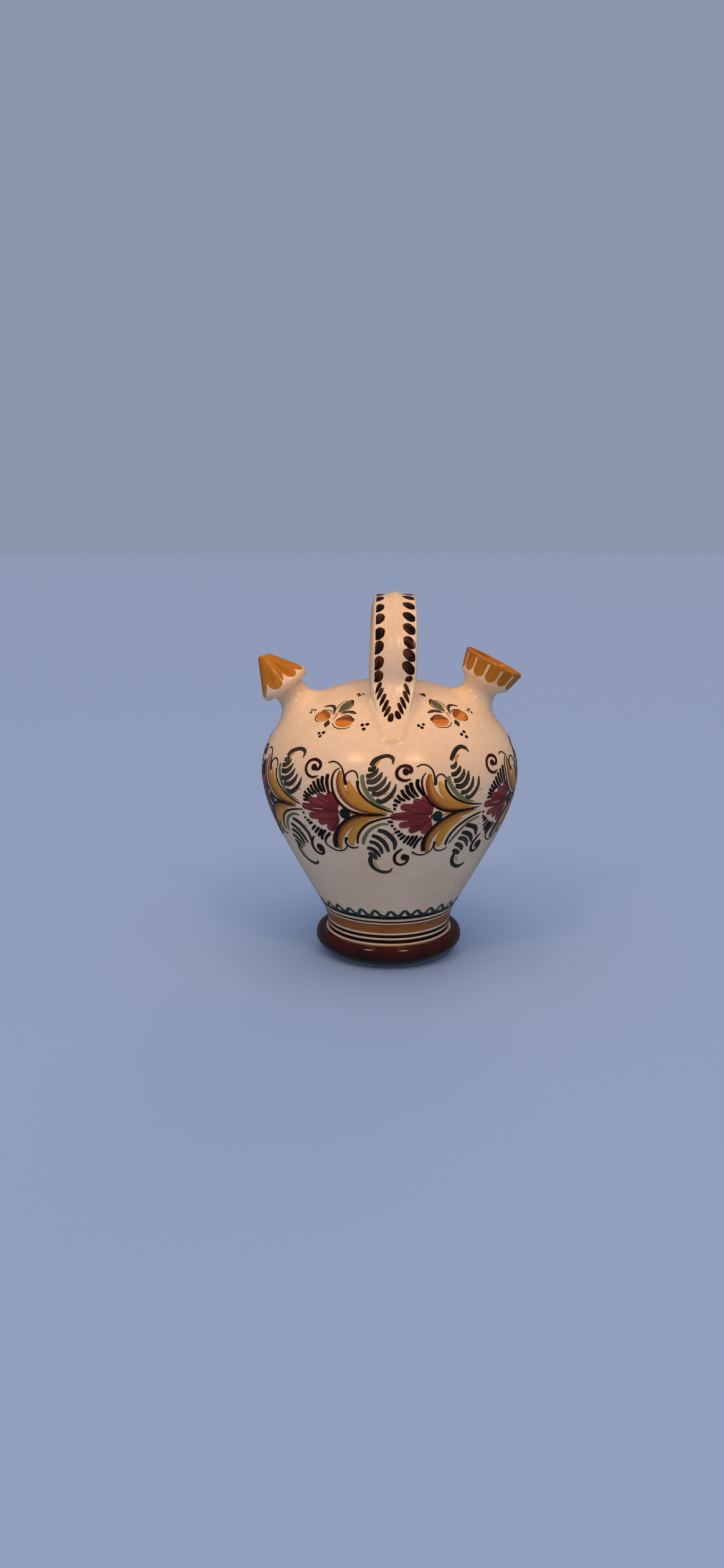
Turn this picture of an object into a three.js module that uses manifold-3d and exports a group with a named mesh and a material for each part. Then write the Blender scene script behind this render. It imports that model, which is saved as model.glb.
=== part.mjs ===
// A glazed earthenware water jug: a turned body on a spreading foot, closed by a dome that carries
// a filling mouth on one side, a small conical pouring spout on the other and a strap handle over
// the top. Millimetres, +Z up. The origin is the middle of the face that the jug stands on.
import * as THREE from 'three';
import { mergeVertices } from 'three/addons/utils/BufferGeometryUtils.js';
import Module from 'manifold-3d';

const wasm = await Module();
wasm.setup();

// Gap between pieces that are cut to each other's shape
const clearance = 0.3;

// Foot ring
const standRadius = 50.5; // outer edge of the standing face
const standWidth = 11; // width of the standing face
const footRadius = 59.5; // the widest part of the foot
const footWideHeight = 11;
const footShoulderHeight = 16.5; // where the foot's side turns in to its top
const footShoulderInset = 1.6;
const footShoulderRound = 0.6; // rise of the rounded edge above the shoulder
const footEdgeRound = 1; // small rounding beside the standing face
const footHeight = 19.2; // the flat seat that carries the bowl
const footSeatWidth = 10;

// Body, turned in two halves that meet at the belly
const wall = 5.5;
const floorThickness = 6;
const waistRadius = 46.6;
const waistLength = 7; // straight stretch above the foot
const flareAngle = 29.2; // how far the lower wall leans out, in degrees
const flareReach = 68; // length of wall that keeps that lean
const bellyRadius = 103.6;
const bellyHeight = 154;
const bellyReach = 29; // length of wall below the belly that stays near upright
const domeHeight = 73;

// Filling mouth: a tilted neck with a flared cup
const mouthInset = 38.1; // from the belly's side in to where its axis leaves the dome
const mouthTilt = 30;
const mouthThroatRadius = 9.6;
const mouthNeckRadius = 13.8;
const mouthNeckLength = 10.7;
const collarStart = 19.3; // lower edge of the cup, along the axis
const collarRadius = 20.4;
const rimStart = 35.6; // the open end
const rimRadius = 23.3;
const rimLip = 4;
const cupFloor = 17.5;
const cupRound = 3; // fullness of the curves between neck and cup, inside and out

// Pouring spout: a tilted neck with a cone
const spoutInset = 31.1; // from the belly's side in to where its axis leaves the dome
const spoutTilt = 34.5;
const spoutThroatRadius = 8.2;
const spoutNeckRadius = 12.4;
const spoutNeckLength = 13.5;
const coneStart = 21; // the widest part of the cone, along the axis
const coneRadius = 20.6;
const coneRound = 3; // rounded lower edge
const coneWall = 5;
const tipEnd = 48.3;
const tipRadius = 4.5;
const tipBoreRadius = 2.2;
const tipBoreLength = 6;
const tipRound = 0.6;

// Fillets of clay round the two necks
const lutingReach = 10; // how far a fillet spreads on the dome
const lutingRise = 9.5; // how far it climbs up the neck
const lutingEdge = 0.8; // thickness where it ends on the neck

// Handle: a flat strap with a rib, bent over the top from front to back
const archRadius = 48.5; // to the inner face
const gripHeight = 57; // clear height between the dome and the strap
const archLean = 4.4; // how far the top of the strap leans over to the mouth's side
const strapThickness = 9.7;
const strapInnerWidth = 38;
const strapOuterWidth = 34;
const strapCorner = 2.2;
const ribHeight = 2.4;
const ribWidth = 12;
const tongueInset = 13.1; // from the belly's side in to the pressed end of the strap
const tongueRise = 1; // height of the strap's middle over the dome there
const tongueLift = 26; // length of strap that leaves along the dome
const tongueTurn = 15; // length of strap that comes down upright
const tongueWidth = 15;
const tongueThickness = 3.4;

// Wads of clay pressed into the corners under the handle
const wadLeg = 8;
const wadInset = 3; // from the edges of the strap's outer face
const wadHollow = 2.5; // thickness left in the corner behind its hollow front

// Facets
const bodySegments = 48;
const neckSegments = 32;
const curveSteps = 7;
const bowlSteps = 11;
const strapSteps = 44;
const ribSteps = 3;

// Places worked out from the sizes above
const domeTop = bellyHeight + domeHeight;
const mouthOffset = bellyRadius - mouthInset;
const spoutOffset = bellyRadius - spoutInset;
const archHeight = domeTop + gripHeight - archRadius; // centre of the bend
const tongueReach = bellyRadius - tongueInset;
const wadWidth = strapOuterWidth - 2 * wadInset;

// Height of the dome's outside at a radius
function domeZ(radius) {
  const share = radius / bellyRadius;
  return bellyHeight + domeHeight * Math.sqrt(1 - share * share);
}

const glaze = new THREE.MeshStandardMaterial({ color: 0xe4ddcb, roughness: 0.2, metalness: 0 });
const footGlaze = new THREE.MeshStandardMaterial({ color: 0x3a1f16, roughness: 0.2, metalness: 0 });
const ochreGlaze = new THREE.MeshStandardMaterial({ color: 0xc07c2c, roughness: 0.22, metalness: 0 });

const point = (x, y) => new THREE.Vector2(x, y);

// A turned solid from a closed outline of (radius, height) points
function turned(outline, segments) {
  const closed = [...outline, outline[0].clone()];
  const geometry = new THREE.LatheGeometry(closed, segments);
  return geometry.rotateX(Math.PI / 2);
}

function arcPoints(centreX, centreY, radiusX, radiusY, from, to, steps = curveSteps) {
  const curve = new THREE.EllipseCurve(centreX, centreY, radiusX, radiusY, from, to, to < from);
  return curve.getPoints(steps);
}

function bezierPoints(a, b, c, d, steps = curveSteps) {
  return new THREE.CubicBezierCurve(a, b, c, d).getPoints(steps);
}

// Points moved to the left of the way that the line runs
function shifted(points, distance) {
  return points.map((p, i) => {
    const before = points[Math.max(i - 1, 0)];
    const after = points[Math.min(i + 1, points.length - 1)];
    const way = after.clone().sub(before).normalize();
    return point(p.x - way.y * distance, p.y + way.x * distance);
  });
}

function solid(geometry) {
  const bare = geometry.clone();
  bare.deleteAttribute('normal');
  bare.deleteAttribute('uv');
  const merged = mergeVertices(bare, 1e-4);
  const corners = merged.index.array;
  const triVerts = [];
  for (let i = 0; i < corners.length; i += 3) {
    const [a, b, c] = corners.slice(i, i + 3);
    if (a !== b && b !== c && c !== a) triVerts.push(a, b, c);
  }
  return new wasm.Manifold(new wasm.Mesh({
    numProp: 3,
    vertProperties: new Float32Array(merged.attributes.position.array),
    triVerts: new Uint32Array(triVerts),
  }));
}

function geometryOf(manifold) {
  const { vertProperties, triVerts } = manifold.getMesh();
  const geometry = new THREE.BufferGeometry();
  geometry.setAttribute('position', new THREE.BufferAttribute(vertProperties, 3));
  geometry.setIndex(new THREE.BufferAttribute(triVerts, 1));
  geometry.computeVertexNormals();
  return geometry;
}

function cut(geometry, ...tools) {
  return geometryOf(tools.reduce((left, tool) => left.subtract(solid(tool)), solid(geometry)));
}

// The outside of the dome, grown by a distance, as a solid to cut with
function domeBlock(grow) {
  const base = bellyHeight - wall;
  return turned([
    point(0, base),
    point(bellyRadius + grow, base),
    ...arcPoints(0, bellyHeight, bellyRadius + grow, domeHeight + grow, 0, Math.PI / 2, 2 * curveSteps),
  ], bodySegments);
}

// Moves a shape that is turned about its own axis on to the dome, leaning outward along X
function onDome(geometry, offset, tilt, side) {
  const lean = THREE.MathUtils.degToRad(tilt) * side;
  const height = domeZ(offset);
  return geometry.rotateY(lean).translate(offset * side, 0, height);
}

function footRing() {
  const shoulderRadius = footRadius - footShoulderInset;
  const seatInner = waistRadius - footSeatWidth;
  return turned([
    point(standRadius - standWidth, 0),
    point(standRadius, 0),
    ...bezierPoints(
      point(standRadius + footEdgeRound, footEdgeRound / 2),
      point((standRadius + footRadius) / 2, footEdgeRound),
      point(footRadius, footWideHeight / 2),
      point(footRadius, footWideHeight),
    ),
    ...bezierPoints(
      point(footRadius, footWideHeight),
      point(footRadius, (footWideHeight + footShoulderHeight) / 2),
      point(shoulderRadius + footShoulderInset / 2, footShoulderHeight),
      point(shoulderRadius - footShoulderInset, footShoulderHeight + footShoulderRound),
    ).slice(1),
    point(waistRadius, footHeight),
    point(seatInner, footHeight),
  ], bodySegments);
}

function bowlOutside() {
  const lean = THREE.MathUtils.degToRad(flareAngle);
  const start = point(waistRadius, footHeight + waistLength);
  return bezierPoints(
    start,
    point(start.x + flareReach * Math.sin(lean), start.y + flareReach * Math.cos(lean)),
    point(bellyRadius, bellyHeight - bellyReach),
    point(bellyRadius, bellyHeight),
    bowlSteps,
  );
}

function lowerBowl() {
  const outside = bowlOutside();
  const floorTop = footHeight + floorThickness;
  const inside = shifted(outside, wall).filter((p) => p.y > floorTop + wall && p.y < bellyHeight - wall);
  return turned([
    point(0, footHeight),
    point(waistRadius, footHeight),
    ...outside,
    point(bellyRadius - wall, bellyHeight),
    ...inside.reverse(),
    point(waistRadius - wall, floorTop + wall / 2),
    point(waistRadius - 2 * wall, floorTop),
    point(0, floorTop),
  ], bodySegments);
}

function throat(radius, offset, tilt, side) {
  const reach = 6 * wall;
  const bore = new THREE.CylinderGeometry(radius, radius, reach, neckSegments).rotateX(Math.PI / 2);
  return onDome(bore, offset, tilt, side);
}

function upperDome() {
  const shell = turned([
    point(bellyRadius - wall, bellyHeight),
    ...arcPoints(0, bellyHeight, bellyRadius, domeHeight, 0, Math.PI / 2, 2 * curveSteps),
    ...arcPoints(0, bellyHeight, bellyRadius - wall, domeHeight - wall, Math.PI / 2, 0, curveSteps).slice(0, -1),
  ], bodySegments);
  return cut(
    shell,
    throat(mouthThroatRadius, mouthOffset, mouthTilt, 1),
    throat(spoutThroatRadius, spoutOffset, spoutTilt, -1),
  );
}

function fillingMouth() {
  const buried = -2 * wall;
  const cup = turned([
    point(mouthThroatRadius, buried),
    point(mouthNeckRadius, buried),
    point(mouthNeckRadius, mouthNeckLength),
    ...bezierPoints(
      point(mouthNeckRadius, mouthNeckLength),
      point(mouthNeckRadius, collarStart - cupRound),
      point(collarRadius - cupRound, collarStart - cupRound),
      point(collarRadius, collarStart),
    ).slice(1),
    point(rimRadius, rimStart - rimLip / 2),
    ...arcPoints(rimRadius - rimLip / 2, rimStart - rimLip / 2, rimLip / 2, rimLip / 2, 0, Math.PI).slice(1),
    ...bezierPoints(
      point(rimRadius - rimLip, rimStart - rimLip / 2),
      point(collarRadius - rimLip, collarStart + cupRound),
      point(mouthThroatRadius + cupRound, cupFloor + cupRound),
      point(mouthThroatRadius, cupFloor),
    ).slice(1),
  ], neckSegments);
  return cut(onDome(cup, mouthOffset, mouthTilt, 1), domeBlock(clearance));
}

function pouringSpout() {
  const buried = -2 * wall;
  const boreEnd = tipEnd - tipBoreLength;
  const cone = turned([
    point(spoutThroatRadius, buried),
    point(spoutNeckRadius, buried),
    point(spoutNeckRadius, spoutNeckLength),
    ...bezierPoints(
      point(spoutNeckRadius, spoutNeckLength),
      point(spoutNeckRadius, coneStart - coneRound),
      point(coneRadius - 2 * coneRound, coneStart - coneRound),
      point(coneRadius - coneRound, coneStart - coneRound),
    ).slice(1),
    ...arcPoints(coneRadius - coneRound, coneStart, coneRound, coneRound, -Math.PI / 2, Math.PI / 6).slice(1),
    point(tipRadius, tipEnd - tipRound),
    point(tipRadius - tipRound, tipEnd),
    point(tipBoreRadius, tipEnd),
    point(tipBoreRadius, boreEnd),
    point(coneRadius - coneWall - coneRound, coneStart + coneRound),
    point(spoutThroatRadius, spoutNeckLength),
  ], neckSegments);
  return cut(onDome(cone, spoutOffset, spoutTilt, -1), domeBlock(clearance));
}

// A fillet of clay that runs from the side of a neck out on to the dome
function neckLuting(neckRadius, offset, tilt, side) {
  const inner = neckRadius + clearance;
  const outer = neckRadius + lutingReach;
  const curvature = bellyRadius * domeHeight / (bellyRadius + domeHeight) * 2;
  const drop = outer * outer / (2 * curvature); // how far the dome falls away under the fillet's edge
  const collar = turned([
    point(inner, -4 * wall),
    point(outer, -4 * wall),
    ...bezierPoints(
      point(outer, -drop),
      point(neckRadius + lutingReach / 2, -drop / 4),
      point(inner + lutingEdge, lutingRise / 3),
      point(inner + lutingEdge, lutingRise),
    ),
    point(inner, lutingRise),
  ], neckSegments);
  return cut(onDome(collar, offset, tilt, side), domeBlock(clearance));
}

// The middle line of half the strap, from its pressed end up to the start of the bend
function strapRoot() {
  const share = tongueReach / bellyRadius;
  const slope = domeHeight / bellyRadius * share / Math.sqrt(1 - share * share);
  const leave = new THREE.Vector2(1, slope).normalize();
  const start = point(-tongueReach, domeZ(tongueReach) + tongueRise);
  const limb = point(-archRadius - strapThickness / 2, archHeight);
  return new THREE.CubicBezierCurve(
    start,
    start.clone().addScaledVector(leave, tongueLift),
    limb.clone().sub(point(0, tongueTurn)),
    limb,
  );
}

// The whole middle line, front to back, in the plane of Y and Z
function strapLine() {
  const line = new THREE.CurvePath();
  const root = strapRoot();
  const far = new THREE.CubicBezierCurve(...[root.v3, root.v2, root.v1, root.v0].map((p) => point(-p.x, p.y)));
  const bend = archRadius + strapThickness / 2;
  line.add(root);
  line.add(new THREE.EllipseCurve(0, archHeight, bend, bend, Math.PI, 0, true));
  line.add(far);
  return line;
}

function strapSection(grow) {
  const inner = strapInnerWidth / 2 + grow;
  const outer = strapOuterWidth / 2 + grow;
  const half = strapThickness / 2 + grow;
  const rib = ribWidth / 2 + grow;
  const shape = new THREE.Shape();
  shape.moveTo(-inner + strapCorner, -half);
  shape.lineTo(inner - strapCorner, -half);
  shape.lineTo(inner, -half + strapCorner);
  shape.lineTo(outer, half - strapCorner);
  shape.lineTo(outer - strapCorner, half);
  shape.lineTo(rib, half);
  shape.quadraticCurveTo(rib / 2, half + ribHeight, 0, half + ribHeight);
  shape.quadraticCurveTo(-rib / 2, half + ribHeight, -rib, half);
  shape.lineTo(-outer + strapCorner, half);
  shape.lineTo(-outer, half - strapCorner);
  shape.lineTo(-inner, -half + strapCorner);
  shape.closePath();
  return shape;
}

// A straight bar of the strap's section, bent along its middle line and drawn out thin at both ends
function strap(grow) {
  const bar = new THREE.ExtrudeGeometry(strapSection(grow), {
    depth: 1, steps: strapSteps, bevelEnabled: false, curveSegments: ribSteps,
  });
  const line = strapLine();
  const root = strapRoot();
  const rootShare = root.getLength() / line.getLength();
  const rise = domeTop + gripHeight + strapThickness / 2 - root.v0.y;
  const places = bar.attributes.position;
  for (let i = 0; i < places.count; i += 1) {
    const along = places.getZ(i);
    const middle = line.getPointAt(along);
    const way = line.getTangentAt(along);
    const fromEnd = Math.min(along, 1 - along) / rootShare;
    const full = THREE.MathUtils.smoothstep(fromEnd, 0, 1);
    const widthShare = THREE.MathUtils.lerp(tongueWidth / strapInnerWidth, 1, full);
    const thickShare = THREE.MathUtils.lerp(tongueThickness / strapThickness, 1, full);
    const out = places.getY(i) * thickShare;
    places.setXYZ(
      i,
      archLean * (middle.y - root.v0.y) / rise - places.getX(i) * widthShare,
      middle.x - way.y * out,
      middle.y + way.x * out,
    );
  }
  return bar;
}

function handle() {
  return cut(strap(0), domeBlock(clearance));
}

// A wad in the corner between the inner face of the strap and the dome, with a hollow front
function handleWad(side) {
  const corner = point(-archRadius, domeZ(archRadius));
  const inward = point(corner.x + wadLeg, domeZ(archRadius - wadLeg));
  const upward = point(corner.x, corner.y + wadLeg);
  const hidden = corner.x - strapThickness / 2; // inside the strap, which cuts it away
  const shape = new THREE.Shape();
  shape.moveTo(hidden, corner.y - wall);
  shape.lineTo(inward.x, inward.y - wall);
  shape.lineTo(inward.x, inward.y + 2 * clearance);
  shape.quadraticCurveTo(corner.x + wadHollow, corner.y + wadHollow, upward.x, upward.y);
  shape.lineTo(hidden, upward.y);
  shape.closePath();
  const bar = new THREE.ExtrudeGeometry(shape, {
    depth: wadWidth, bevelEnabled: false, curveSegments: curveSteps,
  });
  bar.translate(0, 0, -wadWidth / 2).rotateX(Math.PI / 2).rotateZ(side * Math.PI / 2);
  return cut(bar, strap(clearance), domeBlock(clearance));
}

const jug = new THREE.Group();
jug.name = 'water_jug';

function place(name, geometry, material) {
  const mesh = new THREE.Mesh(geometry, material);
  mesh.name = name;
  jug.add(mesh);
}

place('foot_ring', footRing(), footGlaze);
place('lower_bowl', lowerBowl(), glaze);
place('upper_dome', upperDome(), glaze);
place('filling_mouth', fillingMouth(), ochreGlaze);
place('mouth_luting_coil', neckLuting(mouthNeckRadius, mouthOffset, mouthTilt, 1), glaze);
place('pouring_spout', pouringSpout(), ochreGlaze);
place('spout_luting_coil', neckLuting(spoutNeckRadius, spoutOffset, spoutTilt, -1), glaze);
place('strap_handle', handle(), glaze);
place('front_handle_wad', handleWad(1), glaze);
place('rear_handle_wad', handleWad(-1), glaze);

export default jug;
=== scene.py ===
import bisect
import math
import random
from functools import partial

import bmesh
import bpy
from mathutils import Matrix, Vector


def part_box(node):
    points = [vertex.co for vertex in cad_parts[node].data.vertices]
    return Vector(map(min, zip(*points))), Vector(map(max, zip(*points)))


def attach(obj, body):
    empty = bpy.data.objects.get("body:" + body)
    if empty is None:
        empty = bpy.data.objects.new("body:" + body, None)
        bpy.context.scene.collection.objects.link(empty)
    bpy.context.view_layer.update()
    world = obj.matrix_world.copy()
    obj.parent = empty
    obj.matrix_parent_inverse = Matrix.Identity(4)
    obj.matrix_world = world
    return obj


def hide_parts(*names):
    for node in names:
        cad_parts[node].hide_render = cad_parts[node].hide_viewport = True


# A tin-glazed and hand-painted water jug. The script works in millimetres and scales each piece
# to metres when it is finished.
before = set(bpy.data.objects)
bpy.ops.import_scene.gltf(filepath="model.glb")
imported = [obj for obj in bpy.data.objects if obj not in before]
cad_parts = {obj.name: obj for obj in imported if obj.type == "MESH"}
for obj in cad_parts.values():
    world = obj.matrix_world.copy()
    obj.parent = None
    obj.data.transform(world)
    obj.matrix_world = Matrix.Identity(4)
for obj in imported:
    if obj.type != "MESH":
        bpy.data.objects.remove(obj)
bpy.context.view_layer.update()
metres = 0.001
dice = random.Random(12)


def nodeBox(name):
    low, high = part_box(name)
    return low / metres, high / metres


def blendBetween(a, b, share):
    return a + (b - a) * share


def easeIn(share):
    share = min(max(share, 0.0), 1.0)
    return share * share * (3 - 2 * share)


def heading(angle):
    return Vector((math.cos(angle), math.sin(angle)))


def bezier(corners, t):
    a, b, c, d = corners
    s = 1 - t
    return a * s ** 3 + b * (3 * s * s * t) + c * (3 * s * t * t) + d * t ** 3


def curveLine(*corners, steps=10):
    return [bezier([Vector(corner) for corner in corners], i / steps) for i in range(steps + 1)]


def arcLine(centre, radius, start, end, steps):
    angles = [math.radians(blendBetween(start, end, i / steps)) for i in range(steps + 1)]
    return [centre + heading(angle) * radius for angle in angles]


# Running lengths along a curve, so that a place on it can be asked for in millimetres
def measureCurve(curve, steps=240):
    lengths = [0.0]
    last = curve(0)
    for i in range(1, steps + 1):
        place = curve(i / steps)
        lengths.append(lengths[-1] + (place - last).length)
        last = place
    return lengths


def curveAt(curve, lengths, distance):
    steps = len(lengths) - 1
    i = min(max(bisect.bisect_right(lengths, distance) - 1, 0), steps - 1)
    t = (i + (distance - lengths[i]) / (lengths[i + 1] - lengths[i])) / steps
    nudge = 0.2 / steps
    before, after = max(t - nudge, 0), min(t + nudge, 1)
    return curve(t), (curve(after) - curve(before)).normalized()


def addObject(name, data):
    item = bpy.data.objects.new(name, data)
    bpy.context.scene.collection.objects.link(item)
    return item


def meshFrom(bm, name, material=None):
    mesh = bpy.data.meshes.new(name)
    bm.to_mesh(mesh)
    bm.free()
    if material:
        mesh.materials.append(material)
    return mesh


# Camera at the photograph's viewing angle
cameraView = {
    "place": (-0.0223, -0.8705, 0.3326),
    "pitch": 77.54,  # degrees up from straight down
    "lens": 24.97,
    "sensor": 36.0,
}


def makeCamera():
    data = bpy.data.cameras.new("camera")
    data.lens = cameraView["lens"]
    data.sensor_width = cameraView["sensor"]
    camera = addObject("camera", data)
    camera.location = cameraView["place"]
    camera.rotation_euler = (math.radians(cameraView["pitch"]), 0, 0)
    bpy.context.scene.camera = camera


makeCamera()
print("camera placed")


def hexColour(value):
    parts = [int(value[i:i + 2], 16) / 255 for i in (1, 3, 5)]
    return [p / 12.92 if p <= 0.04045 else ((p + 0.055) / 1.055) ** 2.4 for p in parts] + [1]


# A link is a socket, or a node that stands for the first of its outputs in use
def addNode(tree, kind, links=None, values=None, stops=None, **settings):
    node = tree.nodes.new("ShaderNode" + kind)
    for name, value in settings.items():
        setattr(node, name, value)
    for socket, value in (values or {}).items():
        node.inputs[socket].default_value = value
    for socket, source in (links or {}).items():
        if isinstance(source, bpy.types.Node):
            source = next(output for output in source.outputs if output.enabled)
        tree.links.new(source, node.inputs[socket])
    if stops:
        elements = node.color_ramp.elements
        while len(elements) < len(stops):
            elements.new(0.5)
        for element, (position, colour) in zip(elements, stops):
            element.position = position
            element.color = hexColour(colour) if isinstance(colour, str) else colour
    return node


# A new material, the call that adds a node to it, and the place in the object's coordinates
def newMaterial(name):
    material = bpy.data.materials.new(name)
    material.use_nodes = True
    material.node_tree.nodes.clear()
    add = partial(addNode, material.node_tree)
    return material, add, add("TexCoord").outputs["Object"]


# A pattern's scale from its real size in millimetres
def scaleFor(size):
    return 1 / (size * metres)


# Tin glaze on earthenware: opaque warm white, fired to a soft gloss, with faint cloudiness from uneven
# dipping, low ripples left by the potter's fingers and a few dark specks from the clay
tinGlaze = {
    "cream": "#e9d3b4",
    "thin": "#e2c7a3",  # where the glaze is thinner and the clay shows through
    "cloud": 38.0,  # mm across
    "mottle": 5.0,
    "speck": "#8f6a45",
    "speckSpacing": 17.0,
    "speckSize": 0.35,
    "speckStrength": 0.75,
    "ripple": 7.0,  # spacing of the throwing ripples
    "rippleHeight": 0.018,
    "rippleWander": 9.0,  # radians that they stray
    "peel": 2.4,  # slight unevenness of the glaze
    "peelHeight": 0.008,
    "roughness": 0.24,
    "gloss": 0.5,
}


def glazeColour(add, place):
    cloud = add("TexNoise", {"Vector": place}, {"Scale": scaleFor(tinGlaze["cloud"]), "Detail": 2})
    mottle = add("TexNoise", {"Vector": place}, {"Scale": scaleFor(tinGlaze["mottle"]), "Detail": 3})
    both = add("Math", {0: cloud, 1: mottle}, operation="ADD")
    halved = add("Math", {0: both}, {1: 0.5}, operation="MULTIPLY")
    colour = add("ValToRGB", {"Fac": halved}, stops=[(0.3, tinGlaze["thin"]), (0.6, tinGlaze["cream"])])
    specks = add("TexVoronoi", {"Vector": place}, {"Scale": scaleFor(tinGlaze["speckSpacing"])})
    edge = tinGlaze["speckSize"] / tinGlaze["speckSpacing"]
    dark = add(
        "MapRange", {"Value": specks},
        {"From Min": 0.6 * edge, "From Max": 1.6 * edge, "To Min": tinGlaze["speckStrength"], "To Max": 0.0},
    )
    return add("Mix", {"Factor": dark, "A": colour}, {"B": hexColour(tinGlaze["speck"])}, data_type="RGBA")


def glazeBump(add, place):
    height = add("SeparateXYZ", {"Vector": place}).outputs["Z"]
    phase = add("Math", {0: height}, {1: 2 * math.pi * scaleFor(tinGlaze["ripple"])}, operation="MULTIPLY")
    wander = add("TexNoise", {"Vector": place}, {"Scale": scaleFor(tinGlaze["cloud"]), "Detail": 1})
    shift = add("Math", {0: wander, 2: phase}, {1: tinGlaze["rippleWander"]}, operation="MULTIPLY_ADD")
    ripple = add("Math", {0: shift}, operation="SINE")
    low = add("Bump", {"Height": ripple}, {"Strength": 1.0, "Distance": tinGlaze["rippleHeight"] * metres})
    peel = add("TexNoise", {"Vector": place}, {"Scale": scaleFor(tinGlaze["peel"]), "Detail": 2})
    return add(
        "Bump", {"Height": peel, "Normal": low},
        {"Strength": 1.0, "Distance": tinGlaze["peelHeight"] * metres},
    )


def closeMaterial(add, place, colour, roughness, gloss=tinGlaze["gloss"]):
    shader = add(
        "BsdfPrincipled", {"Base Color": colour, "Normal": glazeBump(add, place)},
        {"Roughness": roughness, "IOR": 1.5, "Specular IOR Level": gloss},
    )
    add("OutputMaterial", {"Surface": shader})


# The painted rings at the waist, from the foot up
waistRings = {
    "black": "#120b0a",
    "ochre": "#935c29",
    "bands": [  # height where a colour starts, and the colour
        (20.8, "black"), (23.9, None), (25.4, "black"), (28.2, None), (29.7, "ochre"), (38.0, None),
        (39.1, "black"), (40.9, None), (42.9, "black"), (46.4, None),
    ],
    "low": 17.0,  # the rings lie between these heights
    "high": 48.0,
    "blur": 0.2,  # softness of an edge
    "wander": 0.35,  # how far a ring strays from level
    "wanderSize": 35.7,  # and over what length
    "streakLength": 16.7,  # the level brush marks
    "streakWidth": 1.11,
    "load": (0.72, 1.2),  # how dark and how light they are
}


def ringColour(add, place, cream):
    s = waistRings
    height = add("SeparateXYZ", {"Vector": place}).outputs["Z"]
    wander = add("TexNoise", {"Vector": place}, {"Scale": scaleFor(s["wanderSize"]), "Detail": 2})
    strayed = add("Math", {0: wander, 2: height}, {1: 2 * s["wander"] * metres}, operation="MULTIPLY_ADD")
    low, high = ((s[end] + s["wander"]) * metres for end in ("low", "high"))
    level = add("MapRange", {"Value": strayed}, {"From Min": low, "From Max": high})
    span = s["high"] - s["low"]
    soft = s["blur"] / span
    last = clear = [0, 0, 0, 0]
    stops = [(0.0, clear)]
    for start, paint in s["bands"]:
        following = hexColour(s[paint]) if paint else clear
        at = (start - s["low"]) / span
        stops += [
            (at - soft, last if last[3] else following[:3] + [0]),
            (at + soft, following if following[3] else last[:3] + [0]),
        ]
        last = following
    bands = add("ValToRGB", {"Fac": level}, stops=stops)
    along, up = scaleFor(s["streakLength"]), scaleFor(s["streakWidth"])
    drawn = add("Mapping", {"Vector": place}, {"Scale": (along, along, up)})
    streak = add("TexNoise", {"Vector": drawn}, {"Scale": 1.0, "Detail": 2})
    thin, thick = s["load"]
    loaded = add(
        "MapRange", {"Value": streak}, {"From Min": 0.3, "From Max": 0.7, "To Min": thin, "To Max": thick},
    )
    ring = add("VectorMath", {0: bands, "Scale": loaded}, operation="SCALE")
    return add("Mix", {"Factor": bands.outputs["Alpha"], "A": cream, "B": ring}, data_type="RGBA")


def creamGlaze(rings):
    material, add, place = newMaterial("tin_glaze_banded" if rings else "tin_glaze")
    colour = glazeColour(add, place)
    if rings:
        colour = ringColour(add, place, colour)
    closeMaterial(add, place, colour, tinGlaze["roughness"])
    return material


# Ochre on the necks: an iron colour washed over the cream glaze above a height along the neck's axis, cloudy
# where it was thick
ochrePaint = {
    "edge": "#945b14",
    "middle": "#b0701b",
    "light": "#c5872b",
    "cloud": 9.0,
    "wander": 0.6,  # how far its lower edge strays
    "wanderSize": 8.33,  # and over what length
    "blur": 0.5,
}


def neckGlaze(name, ochreFrom):
    s = ochrePaint
    material, add, place = newMaterial(name)
    rise = add("Attribute", attribute_name="rise").outputs["Fac"]
    wander = add("TexNoise", {"Vector": place}, {"Scale": scaleFor(s["wanderSize"]), "Detail": 2})
    level = add("Math", {0: wander, 2: rise}, {1: 2 * s["wander"]}, operation="MULTIPLY_ADD")
    low = ochreFrom + s["wander"]
    cover = add("MapRange", {"Value": level}, {"From Min": low, "From Max": low + s["blur"]})
    cloud = add("TexNoise", {"Vector": place}, {"Scale": scaleFor(s["cloud"]), "Detail": 2})
    ochre = add(
        "ValToRGB", {"Fac": cloud}, stops=[(0.25, s["edge"]), (0.5, s["middle"]), (0.8, s["light"])],
    )
    colour = add("Mix", {"Factor": cover, "A": glazeColour(add, place), "B": ochre}, data_type="RGBA")
    closeMaterial(add, place, colour, tinGlaze["roughness"])
    return material


def finishPiece(bm, name, material, nodes=()):
    bmesh.ops.scale(bm, vec=(metres, metres, metres), verts=bm.verts)
    for face in bm.faces:
        face.smooth = True
    piece = addObject(name, meshFrom(bm, name, material))
    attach(piece, "root")
    if nodes:
        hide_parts(*nodes)
    return piece


# Turns a line of points, radius and height, round the jug's axis, and returns the faces
def turnLine(bm, points, turns, closed=False):
    before = set(bm.faces)
    verts = [bm.verts.new((radius, 0, height)) for radius, height in points]
    edges = [bm.edges.new(pair) for pair in zip(verts, verts[1:] + (verts[:1] if closed else []))]
    bmesh.ops.spin(
        bm, geom=verts + edges, cent=(0, 0, 0), axis=(0, 0, 1), angle=2 * math.pi, steps=turns,
        use_merge=True,
    )
    made = {vert for face in bm.faces if face not in before for vert in face.verts}
    bmesh.ops.remove_doubles(bm, verts=list(made), dist=0.001)
    faces = [face for face in bm.faces if face not in before]
    bmesh.ops.recalc_face_normals(bm, faces=faces)
    return faces


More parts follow.
